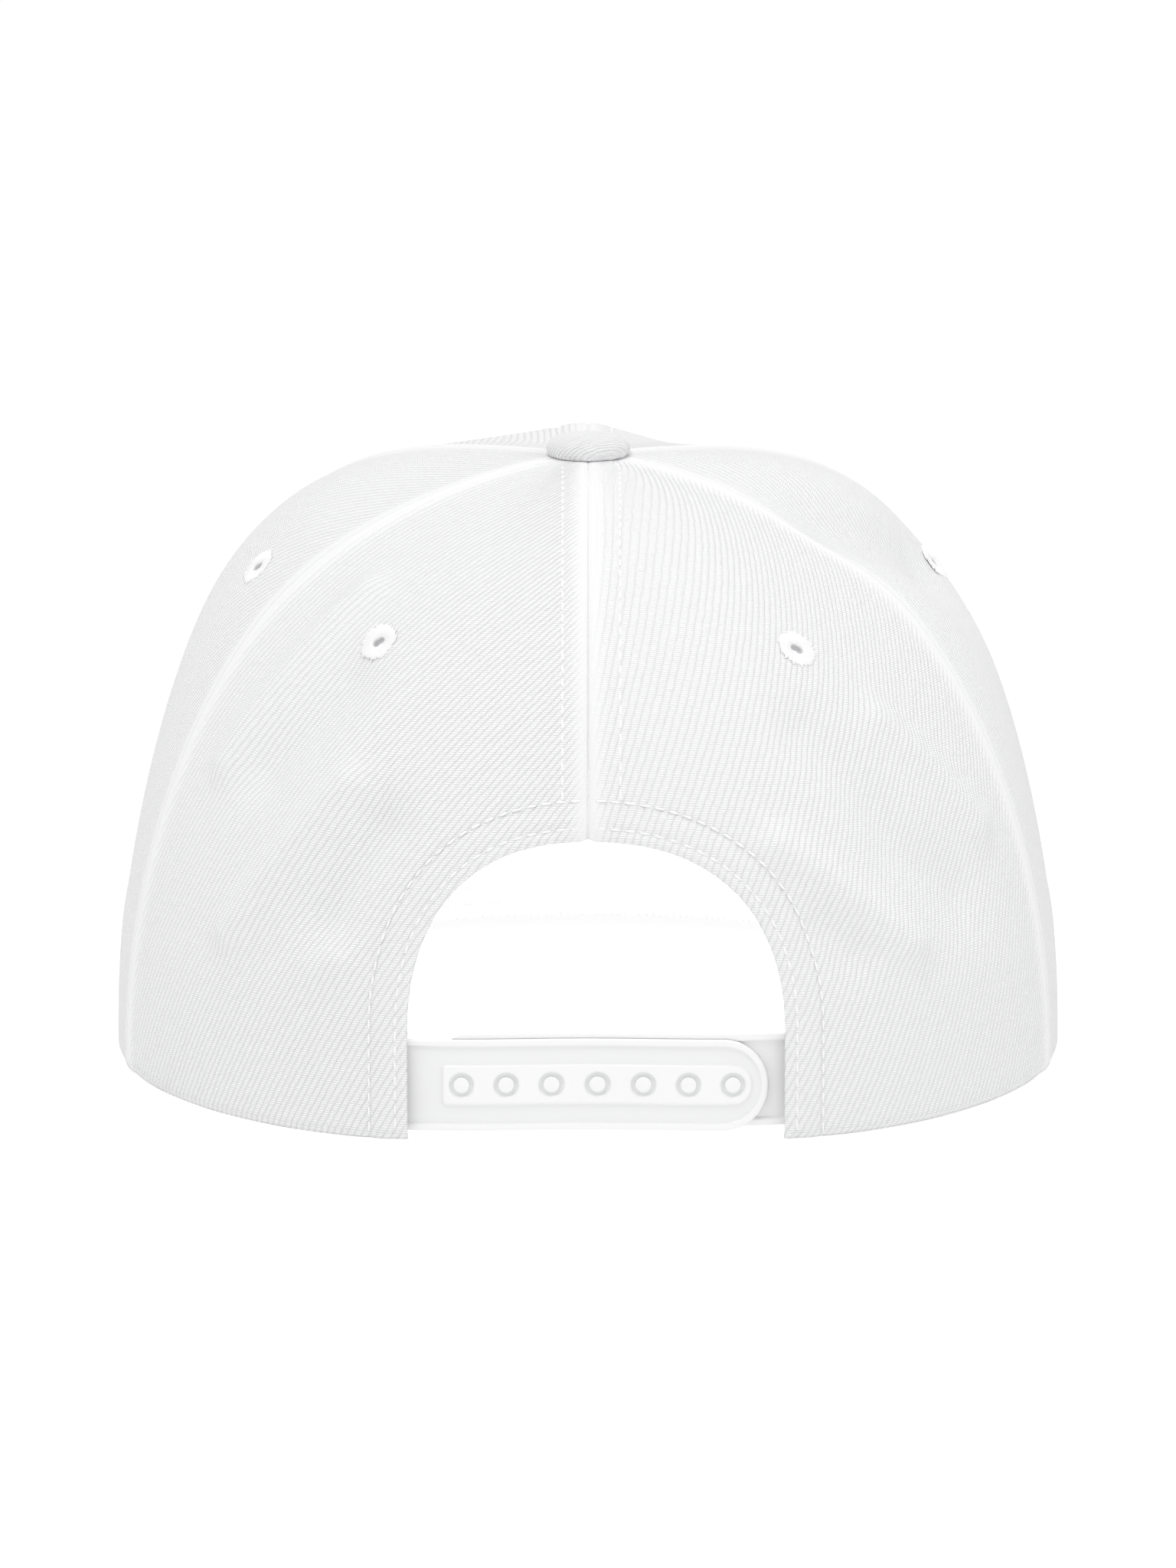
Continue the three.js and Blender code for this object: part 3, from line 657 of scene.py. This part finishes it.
def eyelet_seat(row):
    """Where an eyelet sits on the folded crown, and its ways across, up and out."""
    azimuth = np.array(float(row["azimuth"]))
    lift = lift_at(azimuth, row["rise"] * CROWN_HEIGHT)
    across = crown_point(azimuth + 1, lift) - crown_point(azimuth - 1, lift)
    up = crown_point(azimuth, lift + 1) - crown_point(azimuth, lift - 1)
    out = unit(np.cross(across, up))
    across = unit(across)
    return crown_point(azimuth, lift), across, np.cross(out, across), out


def finish_panel(name, bm, azimuth, lift, relief):
    """Places a panel's cloth, opens its eyelet hole and gives it its wall."""
    place_verts(bm, crown_point(azimuth, lift, relief))
    middle = (azimuth.min() + azimuth.max()) / 2
    r = length_of(plain_point(azimuth, lift)[..., :2])
    lay_cloth(bm, r * (azimuth - middle) * DEGREE, arc_length(azimuth, lift))
    note(bm, "calm", bump(seam_distance(azimuth, lift), CALM_WIDTH))
    seat = next(row for row in EYELETS if row["panel"] == name)
    hole = Vector(in_metres(eyelet_seat(seat)[0]))
    inside = [face for face in bm.faces if (face.calc_center_median() - hole).length < EYELET_OPENING * MM]
    bmesh.ops.delete(bm, geom=inside, context="FACES")
    bmesh.ops.recalc_face_normals(bm, faces=bm.faces)
    if bm.faces[0].normal.dot(bm.faces[0].calc_center_median() - Vector(crown_axis)) < 0:
        bmesh.ops.reverse_faces(bm, faces=bm.faces)
    piece = add_piece(f"{name}_cloth", bm, PANEL_TWILL, [f"{name}_panel"])
    wall = piece.modifiers.new("wall", "SOLIDIFY")
    wall.thickness = CLOTH_WALL * MM
    wall.offset = -1
    return piece


def denser_at_edges(t):
    return mix(t, ease(t), 0.55)


def rows_up(v):
    return mix(v, v * v, 0.25)


def add_panel(name, from_seam, to_seam):
    """A side or front panel between two seams, given as azimuths that depend on the lift."""
    bm, u, v = sheet(PANEL_COLUMNS, PANEL_ROWS)
    u = denser_at_edges(u)
    lift = lift_of(rows_up(v) * TIP_ANGLE, mix(from_seam(90), to_seam(90), u))
    azimuth = mix(from_seam(lift), to_seam(lift), u)
    r = length_of(plain_point(azimuth, lift)[..., :2])
    azimuth = azimuth + (0.5 - u) * SEAM_TOUCH / r / DEGREE
    relief = crown_relief(azimuth, lift) + edge_relief(arc_length(azimuth, lift))
    return finish_panel(name, bm, azimuth, lift, relief)


def add_back_panel(name, side):
    """A back panel: above the opening its inner edge is the centre seam, beside it the opening's own edge."""
    bm, u, v = sheet(PANEL_COLUMNS, PANEL_ROWS)
    u = denser_at_edges(u)
    split = ROWS_BESIDE_ARCH
    arch_lift = float(lift_at(np.zeros(()), ARCH_TOP))
    upper = np.maximum(0, v - split) / (1 - split)
    lower = np.minimum(1, v / split)
    tip = lift_of(TIP_ANGLE, mix(0, BACK_SEAM_TOP, u))
    outer_lift = np.where(v <= split, lower * (arch_lift + ARCH_FAN), mix(arch_lift + ARCH_FAN, tip, upper))
    outer = side * back_seam(outer_lift)
    arch_azimuth, low_lift = back_place(*arch_curve(side, 1 - lower))
    inner_lift = np.where(v > split, mix(arch_lift, tip, upper), low_lift)
    inner = np.where(v > split, 0, arch_azimuth)
    lift = np.where(v > 0, mix(inner_lift, outer_lift, u), 0)
    azimuth = mix(inner, outer, u)
    place = plain_point(azimuth, lift)
    azimuth = azimuth + side * (0.5 - u) * SEAM_TOUCH / length_of(place[..., :2]) / DEGREE
    to_arch = arch_distance(place, side)
    beside_arch = 1 - ease((to_arch - ARCH_HEM_WIDTH) / ARCH_HEM_SLOPE)
    relief = crown_relief(azimuth, lift) + edge_relief(arc_length(azimuth, lift))
    relief += edge_relief(to_arch, ARCH_ROWS_AT) + ARCH_HEM_RISE * beside_arch
    return finish_panel(name, bm, azimuth, lift, relief)


add_back_panel("back_left", -1)
add_back_panel("back_right", 1)
add_panel("side_left", lambda lift: -front_seam(lift), lambda lift: -back_seam(lift))
add_panel("side_right", back_seam, front_seam)
add_panel("front_left", lambda lift: 180 + 0 * lift, lambda lift: 360 - front_seam(lift))
add_panel("front_right", front_seam, lambda lift: 180 + 0 * lift)


def add_stitches(bm, path, out):
    """Lays a row of sewn stitches along a path of points, with the way out of the cloth at each."""
    row = bmesh.new()
    run = np.concatenate([[0], np.cumsum(length_of(np.diff(path, axis=0)))])
    ahead_of = np.gradient(path, axis=0)
    for i in range(int(run[-1] / STITCH_PITCH)):
        here = (i + 0.5) * STITCH_PITCH
        middle, ahead, up = (
            Vector([np.interp(here, run, values[:, k]) for k in range(3)]) for values in (path, ahead_of, out)
        )
        ahead.normalize()
        across = up.cross(ahead).normalized()
        up = ahead.cross(across)
        sizes = (STITCH_LENGTH, STITCH_WIDTH, STITCH_RISE)
        axes = Matrix([ahead * sizes[0], across * sizes[1], up * sizes[2]]).transposed() * MM
        seat = Matrix.Translation(in_metres(middle)) @ axes.to_4x4()
        bmesh.ops.create_uvsphere(row, u_segments=7, v_segments=5, radius=0.5, matrix=seat)
    join(bm, row)


def crown_row(azimuth, lift):
    """Stitches' places along a line of the crown, and the way out at each."""
    azimuth, lift = np.broadcast_arrays(azimuth, lift)
    return crown_point(azimuth, lift, crown_relief(azimuth, lift)), normal_at(azimuth, lift)


def add_seam_stitches():
    bm = bmesh.new()
    arch_lift = float(lift_at(np.zeros(()), ARCH_TOP))
    for seam, lowest in ((0, arch_lift + ROWS_CLEAR_OF_ARCH), (180, 1)):
        lift = lift_of(np.linspace(2, 86, 300), seam)
        r = length_of(plain_point(seam, lift)[..., :2])
        clear = (r > ROWS_CLEAR_OF_AXIS) & (lift > lowest)
        for row in CENTRE_ROWS_AT:
            add_stitches(bm, *crown_row((seam + row / r / DEGREE)[clear], lift[clear]))
    add_piece("seam_stitches", bm, THREAD)


def add_arch_stitches():
    bm = bmesh.new()
    for side in (-1, 1):
        for away in ARCH_ROWS_AT:
            azimuth, lift = arch_row(side, away)
            add_stitches(bm, *crown_row(azimuth, lift))
    add_piece("arch_stitches", bm, THREAD)


add_seam_stitches()
add_arch_stitches()


# The button's section from under its dome to its rivet inside the crown: radius, and height above the seam
BUTTON_SKIRT = [
    (8.7, 1.2), (8.1, 0.5), (7.3, 0.3), (2.0, 0.4), (2.0, -2.2), (4.5, -2.25), (4.5, -3.0), (0, -3.1),
]
BUTTON_RADIUS = 8.9
BUTTON_RISE = 5.4
BUTTON_SHOULDER = 2.1
BUTTON_SINK = 0.5
BUTTON_FULLNESS = 2.3
BUTTON_PLEATS = 13
BUTTON_PLEAT_DEPTH = 0.012
BUTTON_PLEATS_FROM = 5


def spun(profile, steps):
    """A solid of revolution about the upright axis."""
    bm = bmesh.new()
    verts = [bm.verts.new((r, 0, z)) for r, z in profile]
    edges = [bm.edges.new(pair) for pair in zip(verts, verts[1:])]
    bmesh.ops.spin(
        bm,
        geom=verts + edges,
        cent=(0, 0, 0),
        axis=(0, 0, 1),
        dvec=(0, 0, 0),
        angle=2 * math.pi,
        steps=steps,
        use_merge=True,
        use_duplicate=False,
    )
    bmesh.ops.remove_doubles(bm, verts=bm.verts, dist=0.0005)
    bmesh.ops.recalc_face_normals(bm, faces=bm.faces)
    return bm


def add_button():
    turn = np.linspace(0, 90, 15) * DEGREE
    dome_r = BUTTON_RADIUS * rounded(np.sin(turn), 2 / BUTTON_FULLNESS)
    dome_z = BUTTON_SHOULDER + (BUTTON_RISE - BUTTON_SHOULDER) * rounded(np.cos(turn), 2 / BUTTON_FULLNESS)
    bm = spun([*zip(dome_r, np.maximum(dome_z, BUTTON_SHOULDER)), *BUTTON_SKIRT], 72)
    points = np.array([vert.co[:] for vert in bm.verts])
    pleated = (points[:, 2] > 0) & (length_of(points[:, :2]) > BUTTON_PLEATS_FROM)
    low = ease((BUTTON_RISE - points[:, 2]) / BUTTON_RISE) * pleated
    angle = np.arctan2(points[:, 1], points[:, 0])
    pleat = 1 + BUTTON_PLEAT_DEPTH * low * np.cos(BUTTON_PLEATS * angle + 0.8 * np.sin(3 * angle))
    lay_cloth(bm, points[:, 0], points[:, 1] + points[:, 2])
    widened = points * np.stack([pleat, pleat, np.ones_like(pleat)], axis=-1)
    place_verts(bm, widened + [0, 0, CROWN_HEIGHT - BUTTON_SINK])
    add_piece("button_cloth", bm, BUTTON_TWILL, ["button"])


# An eyelet's section: radius, and height above the cloth's outer face
EYELET_SECTION = [
    (4.25, -0.15), (4.15, 0.1), (3.6, 0.26), (2.9, 0.34), (2.1, 0.32), (1.4, 0.12), (1.0, -0.3), (0.95, -1.6),
    (1.4, -2.1), (2.4, -2.4), (3.4, -2.35), (4.0, -2.1), (4.0, -1.8), (2.6, -1.7), (2.5, -0.2), (4.25, -0.15),
]
EYELET_THREADS = 52
EYELET_STEPS_PER_THREAD = 4
EYELET_THREAD_END = 0.22
EYELET_THREAD_RISE = 0.14
EYELET_UNEVENNESS = 0.35
EYELET_HOLE_STRETCH = 0.25


def add_eyelet(row):
    """Radial stitches wrapped over a ring, round an oval hole."""
    bm = spun(EYELET_SECTION, EYELET_THREADS * EYELET_STEPS_PER_THREAD)
    points = np.array([vert.co[:] for vert in bm.verts])
    angle = np.arctan2(points[:, 1], points[:, 0])
    r = length_of(points[:, :2])
    thread = ((angle / (2 * math.pi) + 0.5) * EYELET_THREADS).astype(int) % EYELET_THREADS
    draws = np.random.default_rng(int(row["rise"] * 1000))
    uneven = draws.uniform(-EYELET_UNEVENNESS, EYELET_UNEVENNESS, EYELET_THREADS)[thread]
    ridge = np.abs(np.sin(EYELET_THREADS / 2 * angle))
    outer = ease((r - 3.2) / 0.8)
    inner = 1 - ease((r - 1.1) / 1.6)
    ends = outer * (EYELET_THREAD_END * (ridge - 0.6) + uneven)
    grown = r + ends + inner * EYELET_HOLE_STRETCH * np.cos(2 * angle)
    face = np.sign(points[:, 2] + 1) * ease((r - 1.2) / 0.8)
    height = points[:, 2] + EYELET_THREAD_RISE * (ridge - 0.5) * face
    place, across, up, out = eyelet_seat(row)
    turn = row["tilt"] * DEGREE
    x = grown * np.cos(angle + turn)
    y = grown * np.sin(angle + turn)
    local = x[:, None] * across + y[:, None] * up + height[:, None] * out
    place_verts(bm, place + local)
    # Painted shade: the thread's colour darkens down inside the hole
    note(bm, "hole_painted_shade", (1 - ease((r - 1.0) / 0.5)) * (1 - ease((points[:, 2] + 0.4) / 0.5)))
    add_piece(f"{row['panel']}_eyelet_thread", bm, THREAD, [f"{row['panel']}_eyelet"])


def give_wall(bm, points):
    """Turns a sheet into a closed wall, whose other face has these points."""
    source = bm.verts.layers.int.get("source")
    made = bmesh.ops.extrude_face_region(bm, geom=bm.faces[:])["geom"]
    far = in_metres(points)
    for vert in (item for item in made if isinstance(item, bmesh.types.BMVert)):
        vert.co = far[vert[source]]
    face_outwards(bm)


def mark_source(bm):
    source = bm.verts.layers.int.new("source")
    for i, vert in enumerate(bm.verts):
        vert[source] = i


PEAK_ROWS_AT = [4.5 + 5.8 * i for i in range(7)]
PEAK_MARGIN = 3.5
PEAK_SEAM_DIP = 0.22
PEAK_COLUMNS = 220
PEAK_GRID_ROWS = 64
peak_outline = np.stack(peak_edge(np.linspace(-1, 1, 500)), axis=-1)


def peak_roll(distance):
    """How far each face of the peak rolls in towards its rounded outer edge."""
    half = PEAK_WALL / 2
    return half - np.sqrt(np.maximum(0, half**2 - np.clip(half - distance, 0, half) ** 2))


def peak_face(x, y, top):
    """A point of the peak's upper or lower face, with its edge roll and the dents of its stitch rows."""
    plan = np.stack([x, y], axis=-1)
    distance = np.array([length_of(peak_outline - point).min() for point in plan])
    dip = sum(PEAK_SEAM_DIP * bump(distance - row, ROW_DENT_WIDTH) for row in PEAK_ROWS_AT)
    inset = np.minimum(PEAK_WALL / 2, peak_roll(distance) + dip)
    z = peak_under(x, y) + np.where(top, PEAK_WALL - inset, inset)
    return np.stack([x, y, z], axis=-1)


def add_peak():
    bm, u, v = sheet(PEAK_COLUMNS, PEAK_GRID_ROWS)
    share = 2 * u - 1
    azimuth = 180 + share * (180 - PEAK_CORNER_AZIMUTH)
    r = rim_radius(azimuth) - PEAK_MARGIN
    edge_x, edge_y = peak_edge(share)
    out = 1 - (1 - v) ** 1.5
    x, y = mix(r * np.sin(azimuth * DEGREE), edge_x, out), mix(-r * np.cos(azimuth * DEGREE), edge_y, out)
    mark_source(bm)
    place_verts(bm, peak_face(x, y, True))
    lay_cloth(bm, x, y)
    give_wall(bm, peak_face(x, y, False))
    add_piece("peak_cloth", bm, PEAK_TWILL, ["peak"])


def add_peak_stitches():
    bm = bmesh.new()
    tangent = unit(np.gradient(peak_outline, axis=0))
    inwards = np.stack([tangent[:, 1], -tangent[:, 0]], axis=-1)
    if (inwards[250] @ (0, 1)) > 0:
        inwards = -inwards
    for away in PEAK_ROWS_AT:
        row = peak_outline + inwards * away
        azimuth = np.arctan2(row[:, 0], -row[:, 1]) / DEGREE
        clear = length_of(row) > rim_radius(azimuth) + 1.0
        for top in (True, False):
            path = peak_face(row[clear, 0], row[clear, 1], top)
            add_stitches(bm, path, np.tile([0, 0, 1.0 if top else -1.0], (len(path), 1)))
    add_piece("peak_stitches", bm, THREAD)


# The snap strap
STRAP_HEIGHT = 19
STRAP_BOTTOM = 1.3
STRAP_TUCK = 12
STRAP_RIM_WIDTH = 1.4
STRAP_RIM_RISE = 0.5
STRAP_FIELD = 1.0
STRAP_TIP_PAST_HOLE = 7.4
RAIL_HALF_HEIGHT = 4
RAIL_START_BEFORE_HOLE = 3.9
MOULD_CORNER = 0.6
STUD_STRAP_WALL = 0.8
STUD_STRAP_RAISE = 0.9
STUD_STRAP_TIP_PAST_STUD = 4.8
STUD_STRAP_TIP_RADIUS = 6
STUD_COUNT = 7
STUD_PITCH = 9.2
STUD_ROW_MIDDLE = 1.9
STUD_SHANK_RADIUS = 1.3
HOLE_RING_RADIUS = 2.55
HOLE_DEPTH = 0.62
SNAP_TOUCH = 0.02
MOULD_SLOPE = 0.35
STRAP_GRAIN = 0.26
STRAP_EDGE_WIDTH = 0.35
STRAP_EDGE_DROP = 0.2
INNER_LIP_RISE = 0.75
INNER_LIP_CLEARANCE = 0.1

# Painted light and shade on the plastic, from the sunk rings' painted shade (0) to the inner strap's rim's
# painted highlight (1); the inner strap sits in shadow and is painted paler
RING_TONE = 0.1
FIELD_TONE = 0.55
RIM_TONE = 0.95
INNER_TONE = 0.9

strap_wall = STRAP_FIELD + STRAP_RIM_RISE
strap_top = STRAP_BOTTOM + STRAP_HEIGHT + STUD_STRAP_RAISE
strap_half = STRAP_HEIGHT / 2
strap_middle = STRAP_BOTTOM + strap_half
stud_places = STUD_ROW_MIDDLE + (np.arange(STUD_COUNT) - (STUD_COUNT - 1) / 2) * STUD_PITCH
outer_start, outer_tip = -ARCH_LEFT_WIDTH - STRAP_TUCK, stud_places[-1] + STRAP_TIP_PAST_HOLE
inner_start, inner_tip = ARCH_RIGHT_WIDTH + STRAP_TUCK, stud_places[0] - STUD_STRAP_TIP_PAST_STUD
strap_stations = np.linspace(-ARCH_LEFT_WIDTH - STRAP_TUCK - 2, ARCH_RIGHT_WIDTH + STRAP_TUCK + 2, 90)
strap_seat = back_place(strap_stations, np.full_like(strap_stations, strap_top))
strap_line = plain_point(*strap_seat)[:, :2]
strap_out = unit(normal_at(*strap_seat)[:, :2])


def strap_point(x, height, depth):
    """A place on the snap strap: x from the middle, and depth inwards from the outer strap's face."""
    at, out = (
        np.stack([np.interp(x, strap_stations, line[:, k]) for k in (0, 1)], axis=-1)
        for line in (strap_line, strap_out)
    )
    plan = at - out * (CLOTH_WALL + SEAM_GAP + depth)[:, None]
    return np.column_stack([plan, height])


def strap_sheet(start, tip, radius, half):
    """A strip with a square start and a rounded tip: its grid, and each vertex's x, height from the
    strip's middle and distance inside its long edges."""
    columns, rows = int(abs(tip - start) / STRAP_GRAIN), int(2 * half / STRAP_GRAIN)
    bm, u, v = sheet(columns, rows)
    forward = np.sign(tip - start)
    u = u if forward > 0 else 1 - u
    x = start + (tip - start) * u
    past = np.clip((np.abs(x - start) - (abs(tip - start) - radius)) / radius, 0, 1)
    shrink = radius * (1 - np.sqrt(np.maximum(0, 1 - past**2)))
    return bm, x, (2 * v - 1) * (half - shrink), half - shrink - np.abs(2 * v - 1) * (half - shrink)


def capsule_distance(x, height, start, tip, half):
    """How far inside a strip with small rounded corners at its start and a round tip a place lies."""
    to_start, to_side = x - start, half - np.abs(height)
    in_corner = (to_start < MOULD_CORNER) & (to_side < MOULD_CORNER)
    round_corner = MOULD_CORNER - np.hypot(MOULD_CORNER - to_start, MOULD_CORNER - to_side)
    square = np.where(in_corner, round_corner, np.minimum(to_start, to_side))
    return np.minimum(square, half - np.hypot(np.maximum(0, x - tip + half), height))


def moulded(distance):
    """A moulded step from 0 to 1 where a distance passes 0."""
    return ease(distance / MOULD_SLOPE + 0.5)


def add_outer_strap():
    """The outer half: a raised rim round a sunk field, and a rail with the snap holes."""
    bm, x, height, _ = strap_sheet(outer_start, outer_tip, strap_half, strap_half)
    from_edge = capsule_distance(x, height, outer_start, outer_tip, strap_half)
    rail_start, rail_tip = stud_places[0] - RAIL_START_BEFORE_HOLE, stud_places[-1] + RAIL_HALF_HEIGHT
    in_rail = capsule_distance(x, height, rail_start, rail_tip, RAIL_HALF_HEIGHT)
    rise = np.maximum(moulded(STRAP_RIM_WIDTH - from_edge), moulded(in_rail))
    edge_drop = STRAP_EDGE_DROP * np.clip(1 - from_edge / STRAP_EDGE_WIDTH, 0, 1) ** 2
    depth = STRAP_RIM_RISE * (1 - rise) + edge_drop
    to_stud = np.min([np.hypot(x - stud, height) for stud in stud_places], axis=0)
    ring = moulded(HOLE_RING_RADIUS - to_stud)
    depth = mix(depth, HOLE_DEPTH, ring)
    # Painted shade in the sunk rings and the thin field, painted highlight on the raised rim and rail
    note(bm, "painted_light_tone", mix(mix(FIELD_TONE, RIM_TONE, rise), RING_TONE, ring))
    mark_source(bm)
    place_verts(bm, strap_point(x, strap_middle + height, depth))
    bm.verts.ensure_lookup_table()
    throat = STUD_SHANK_RADIUS + SEAM_GAP / 2
    open_faces = [face for face in bm.faces if max(to_stud[vert.index] for vert in face.verts) < throat]
    bmesh.ops.delete(bm, geom=open_faces, context="FACES")
    give_wall(bm, strap_point(x, strap_middle + height, np.full_like(x, strap_wall)))
    add_piece("outer_strap", bm, PLASTIC, ["hole_strap"])


# A stud's section: radius, and depth below its top
STUD_SECTION = [
    (0, 0.0), (1.1, 0.0), (1.45, 0.05), (1.64, 0.18), (1.7, 0.36),
    (1.55, 0.5), (1.3, 0.55), (1.3, 1.75), (0, 1.8),
]
STUD_TOP_DEPTH = 0.1


def add_inner_strap():
    """The inner half, with its studs snapped through the holes."""
    bm, x, height, from_side = strap_sheet(inner_start, inner_tip, STUD_STRAP_TIP_RADIUS, strap_half)
    behind_outer = capsule_distance(x, height + STUD_STRAP_RAISE, outer_start, outer_tip, strap_half)
    clear = moulded(INNER_LIP_CLEARANCE - behind_outer)
    rim = moulded(STRAP_RIM_WIDTH - from_side) * clear
    depth = strap_wall + SNAP_TOUCH - INNER_LIP_RISE * rim
    # The inner strap is painted paler against the shadow it sits in, with a painted highlight on its lip
    note(bm, "painted_light_tone", mix(INNER_TONE, 1.0, rim))
    mark_source(bm)
    middle = strap_middle + STUD_STRAP_RAISE
    place_verts(bm, strap_point(x, middle + height, depth))
    give_wall(bm, strap_point(x, middle + height, np.full_like(x, strap_wall + SEAM_GAP + STUD_STRAP_WALL)))
    strap_verts = len(bm.verts)
    for stud in stud_places:
        head = spun(STUD_SECTION, 32)
        points = np.array([vert.co[:] for vert in head.verts])
        at = strap_point(stud + points[:, 0], strap_middle + points[:, 1], STUD_TOP_DEPTH + points[:, 2])
        place_verts(head, at)
        bmesh.ops.recalc_face_normals(head, faces=head.faces)
        join(bm, head)
    painted_light_tone = bm.verts.layers.float["painted_light_tone"]
    bm.verts.ensure_lookup_table()
    # The studs take the inner strap's painted paler tone
    for vert in bm.verts[strap_verts:]:
        vert[painted_light_tone] = INNER_TONE
    add_piece("inner_strap", bm, PLASTIC, ["stud_strap"])


# The sweatband
BAND_HEIGHT = 30
BAND_WALL = 1.2
BAND_GAP = 0.5
BAND_EDGE_INSET = 1.5
BAND_RETURN_TURN = 10
BAND_ROWS_AT = (2.6,)
BAND_CLOSE_FROM = 24
BAND_FRONT_DROP = 0.8
BAND_DENT = 0.25
BAND_COLUMNS = 260
BAND_GRID_ROWS = 30


def band_azimuth(x):
    return float(np.abs(back_place(np.array(float(x)), np.array(strap_top))[0]))


def band_point(azimuth, rise, depth):
    """A place on the sweatband, upright below the strap's top and along the crown above it."""
    tucked = band_azimuth(ARCH_RIGHT_WIDTH + STRAP_TUCK)
    away = ease((turned(azimuth) - tucked) / BAND_RETURN_TURN)
    strap = np.where(azimuth < 180, strap_wall + SEAM_GAP + STUD_STRAP_WALL, strap_wall)
    closing = 1 - ease((rise - BAND_CLOSE_FROM) / (BAND_HEIGHT - BAND_CLOSE_FROM))
    inset = CLOTH_WALL + mix(strap + SEAM_GAP, 0, away) + (BAND_GAP + depth) * mix(-0.25, 1, closing)
    lift = lift_at(azimuth, hem_height(azimuth) + np.maximum(rise, strap_top))
    place = crown_point(azimuth, lift, -inset)
    place[..., 2] = np.where(rise < strap_top, hem_height(azimuth) + rise, place[..., 2])
    return place


def add_sweatband():
    first = band_azimuth(ARCH_RIGHT_WIDTH + BAND_EDGE_INSET)
    last = 360 - band_azimuth(-ARCH_LEFT_WIDTH - BAND_EDGE_INSET)
    bm, u, v = sheet(BAND_COLUMNS, BAND_GRID_ROWS)
    azimuth = mix(first, last, u)
    lowest = mix(SEAM_GAP, -BAND_FRONT_DROP, ease((turned(azimuth) - 100) / 20))
    rise = mix(lowest, BAND_HEIGHT, denser_at_edges(v))
    to_edge = np.minimum(rise - lowest, BAND_HEIGHT - rise)
    roll = BAND_WALL / 2 * np.clip(1 - to_edge / 0.8, 0, 1) ** 2
    dent = sum(BAND_DENT * bump(rise - row, ROW_DENT_WIDTH) for row in BAND_ROWS_AT)
    soft = 0.18 * np.sin(azimuth * 0.9) * np.sin(azimuth * 0.37 + rise * 0.2)
    mark_source(bm)
    place_verts(bm, band_point(azimuth, rise, BAND_WALL - roll - dent - np.maximum(0, soft)))
    lay_cloth(bm, rim_radius(azimuth) * azimuth * DEGREE, rise)
    give_wall(bm, band_point(azimuth, rise, roll))
    add_piece("sweatband_cloth", bm, BAND_TWILL, ["sweatband"])
    stitches = bmesh.new()
    around = np.linspace(first + 0.5, last - 0.5, 400)
    for row in BAND_ROWS_AT:
        path = band_point(around, np.full_like(around, row), BAND_WALL - BAND_DENT)
        add_stitches(stitches, path, -unit(path * [1, 1, 0]))
    add_piece("sweatband_stitches", stitches, THREAD)


add_button()
for eyelet_row in EYELETS:
    add_eyelet(eyelet_row)
add_peak()
add_peak_stitches()
add_outer_strap()
add_inner_strap()
add_sweatband()


def floor_finish():
    pale = {"Base Color": (0.35, 0.35, 0.35, 1), "Roughness": 0.9, "Specular IOR Level": 0.0}
    glow = {"Emission Color": (1, 1, 1, 1), "Emission Strength": 0.72}
    return new_material("pale_floor", {**pale, **glow})[0]


def add_floor():
    bm = bmesh.new()
    bmesh.ops.create_grid(bm, x_segments=1, y_segments=1, size=20)
    mesh = bpy.data.meshes.new("floor")
    bm.to_mesh(mesh)
    bm.free()
    mesh.materials.append(floor_finish())
    floor = bpy.data.objects.new("floor", mesh)
    bpy.context.scene.collection.objects.link(floor)


LIGHT_AIM = Vector((0, 0, 0.06))


def add_area_light(name, place, power, size):
    light = bpy.data.objects.new(name, bpy.data.lights.new(name, "AREA"))
    light.data.energy = power
    light.data.shape = "DISK"
    light.data.size = size
    light.location = place
    light.rotation_euler = (LIGHT_AIM - light.location).to_track_quat("-Z", "Y").to_euler()
    bpy.context.scene.collection.objects.link(light)


def add_inner_glow():
    glow = bpy.data.objects.new("inner_glow", bpy.data.lights.new("inner_glow", "POINT"))
    glow.data.energy = 0.2
    glow.data.shadow_soft_size = 0.03
    glow.location = Vector(crown_axis) + Vector((0, 0.01, 0.05))
    glow.visible_camera = False
    bpy.context.scene.collection.objects.link(glow)


def add_world():
    world = bpy.data.worlds.new("studio")
    world.use_nodes = True
    world.node_tree.nodes["Background"].inputs["Color"].default_value = (1, 1, 1, 1)
    world.node_tree.nodes["Background"].inputs["Strength"].default_value = 0.75
    bpy.context.scene.world = world


add_floor()
add_world()
add_area_light("key", (-0.35, -0.7, 1.7), 9.5, 0.9)
add_area_light("overhead", (0, 0.35, 1.8), 4, 0.8)
add_area_light("right_fill", (0.8, -0.35, 0.5), 0.9, 0.5)
add_inner_glow()
bpy.context.scene.view_settings.view_transform = "Standard"
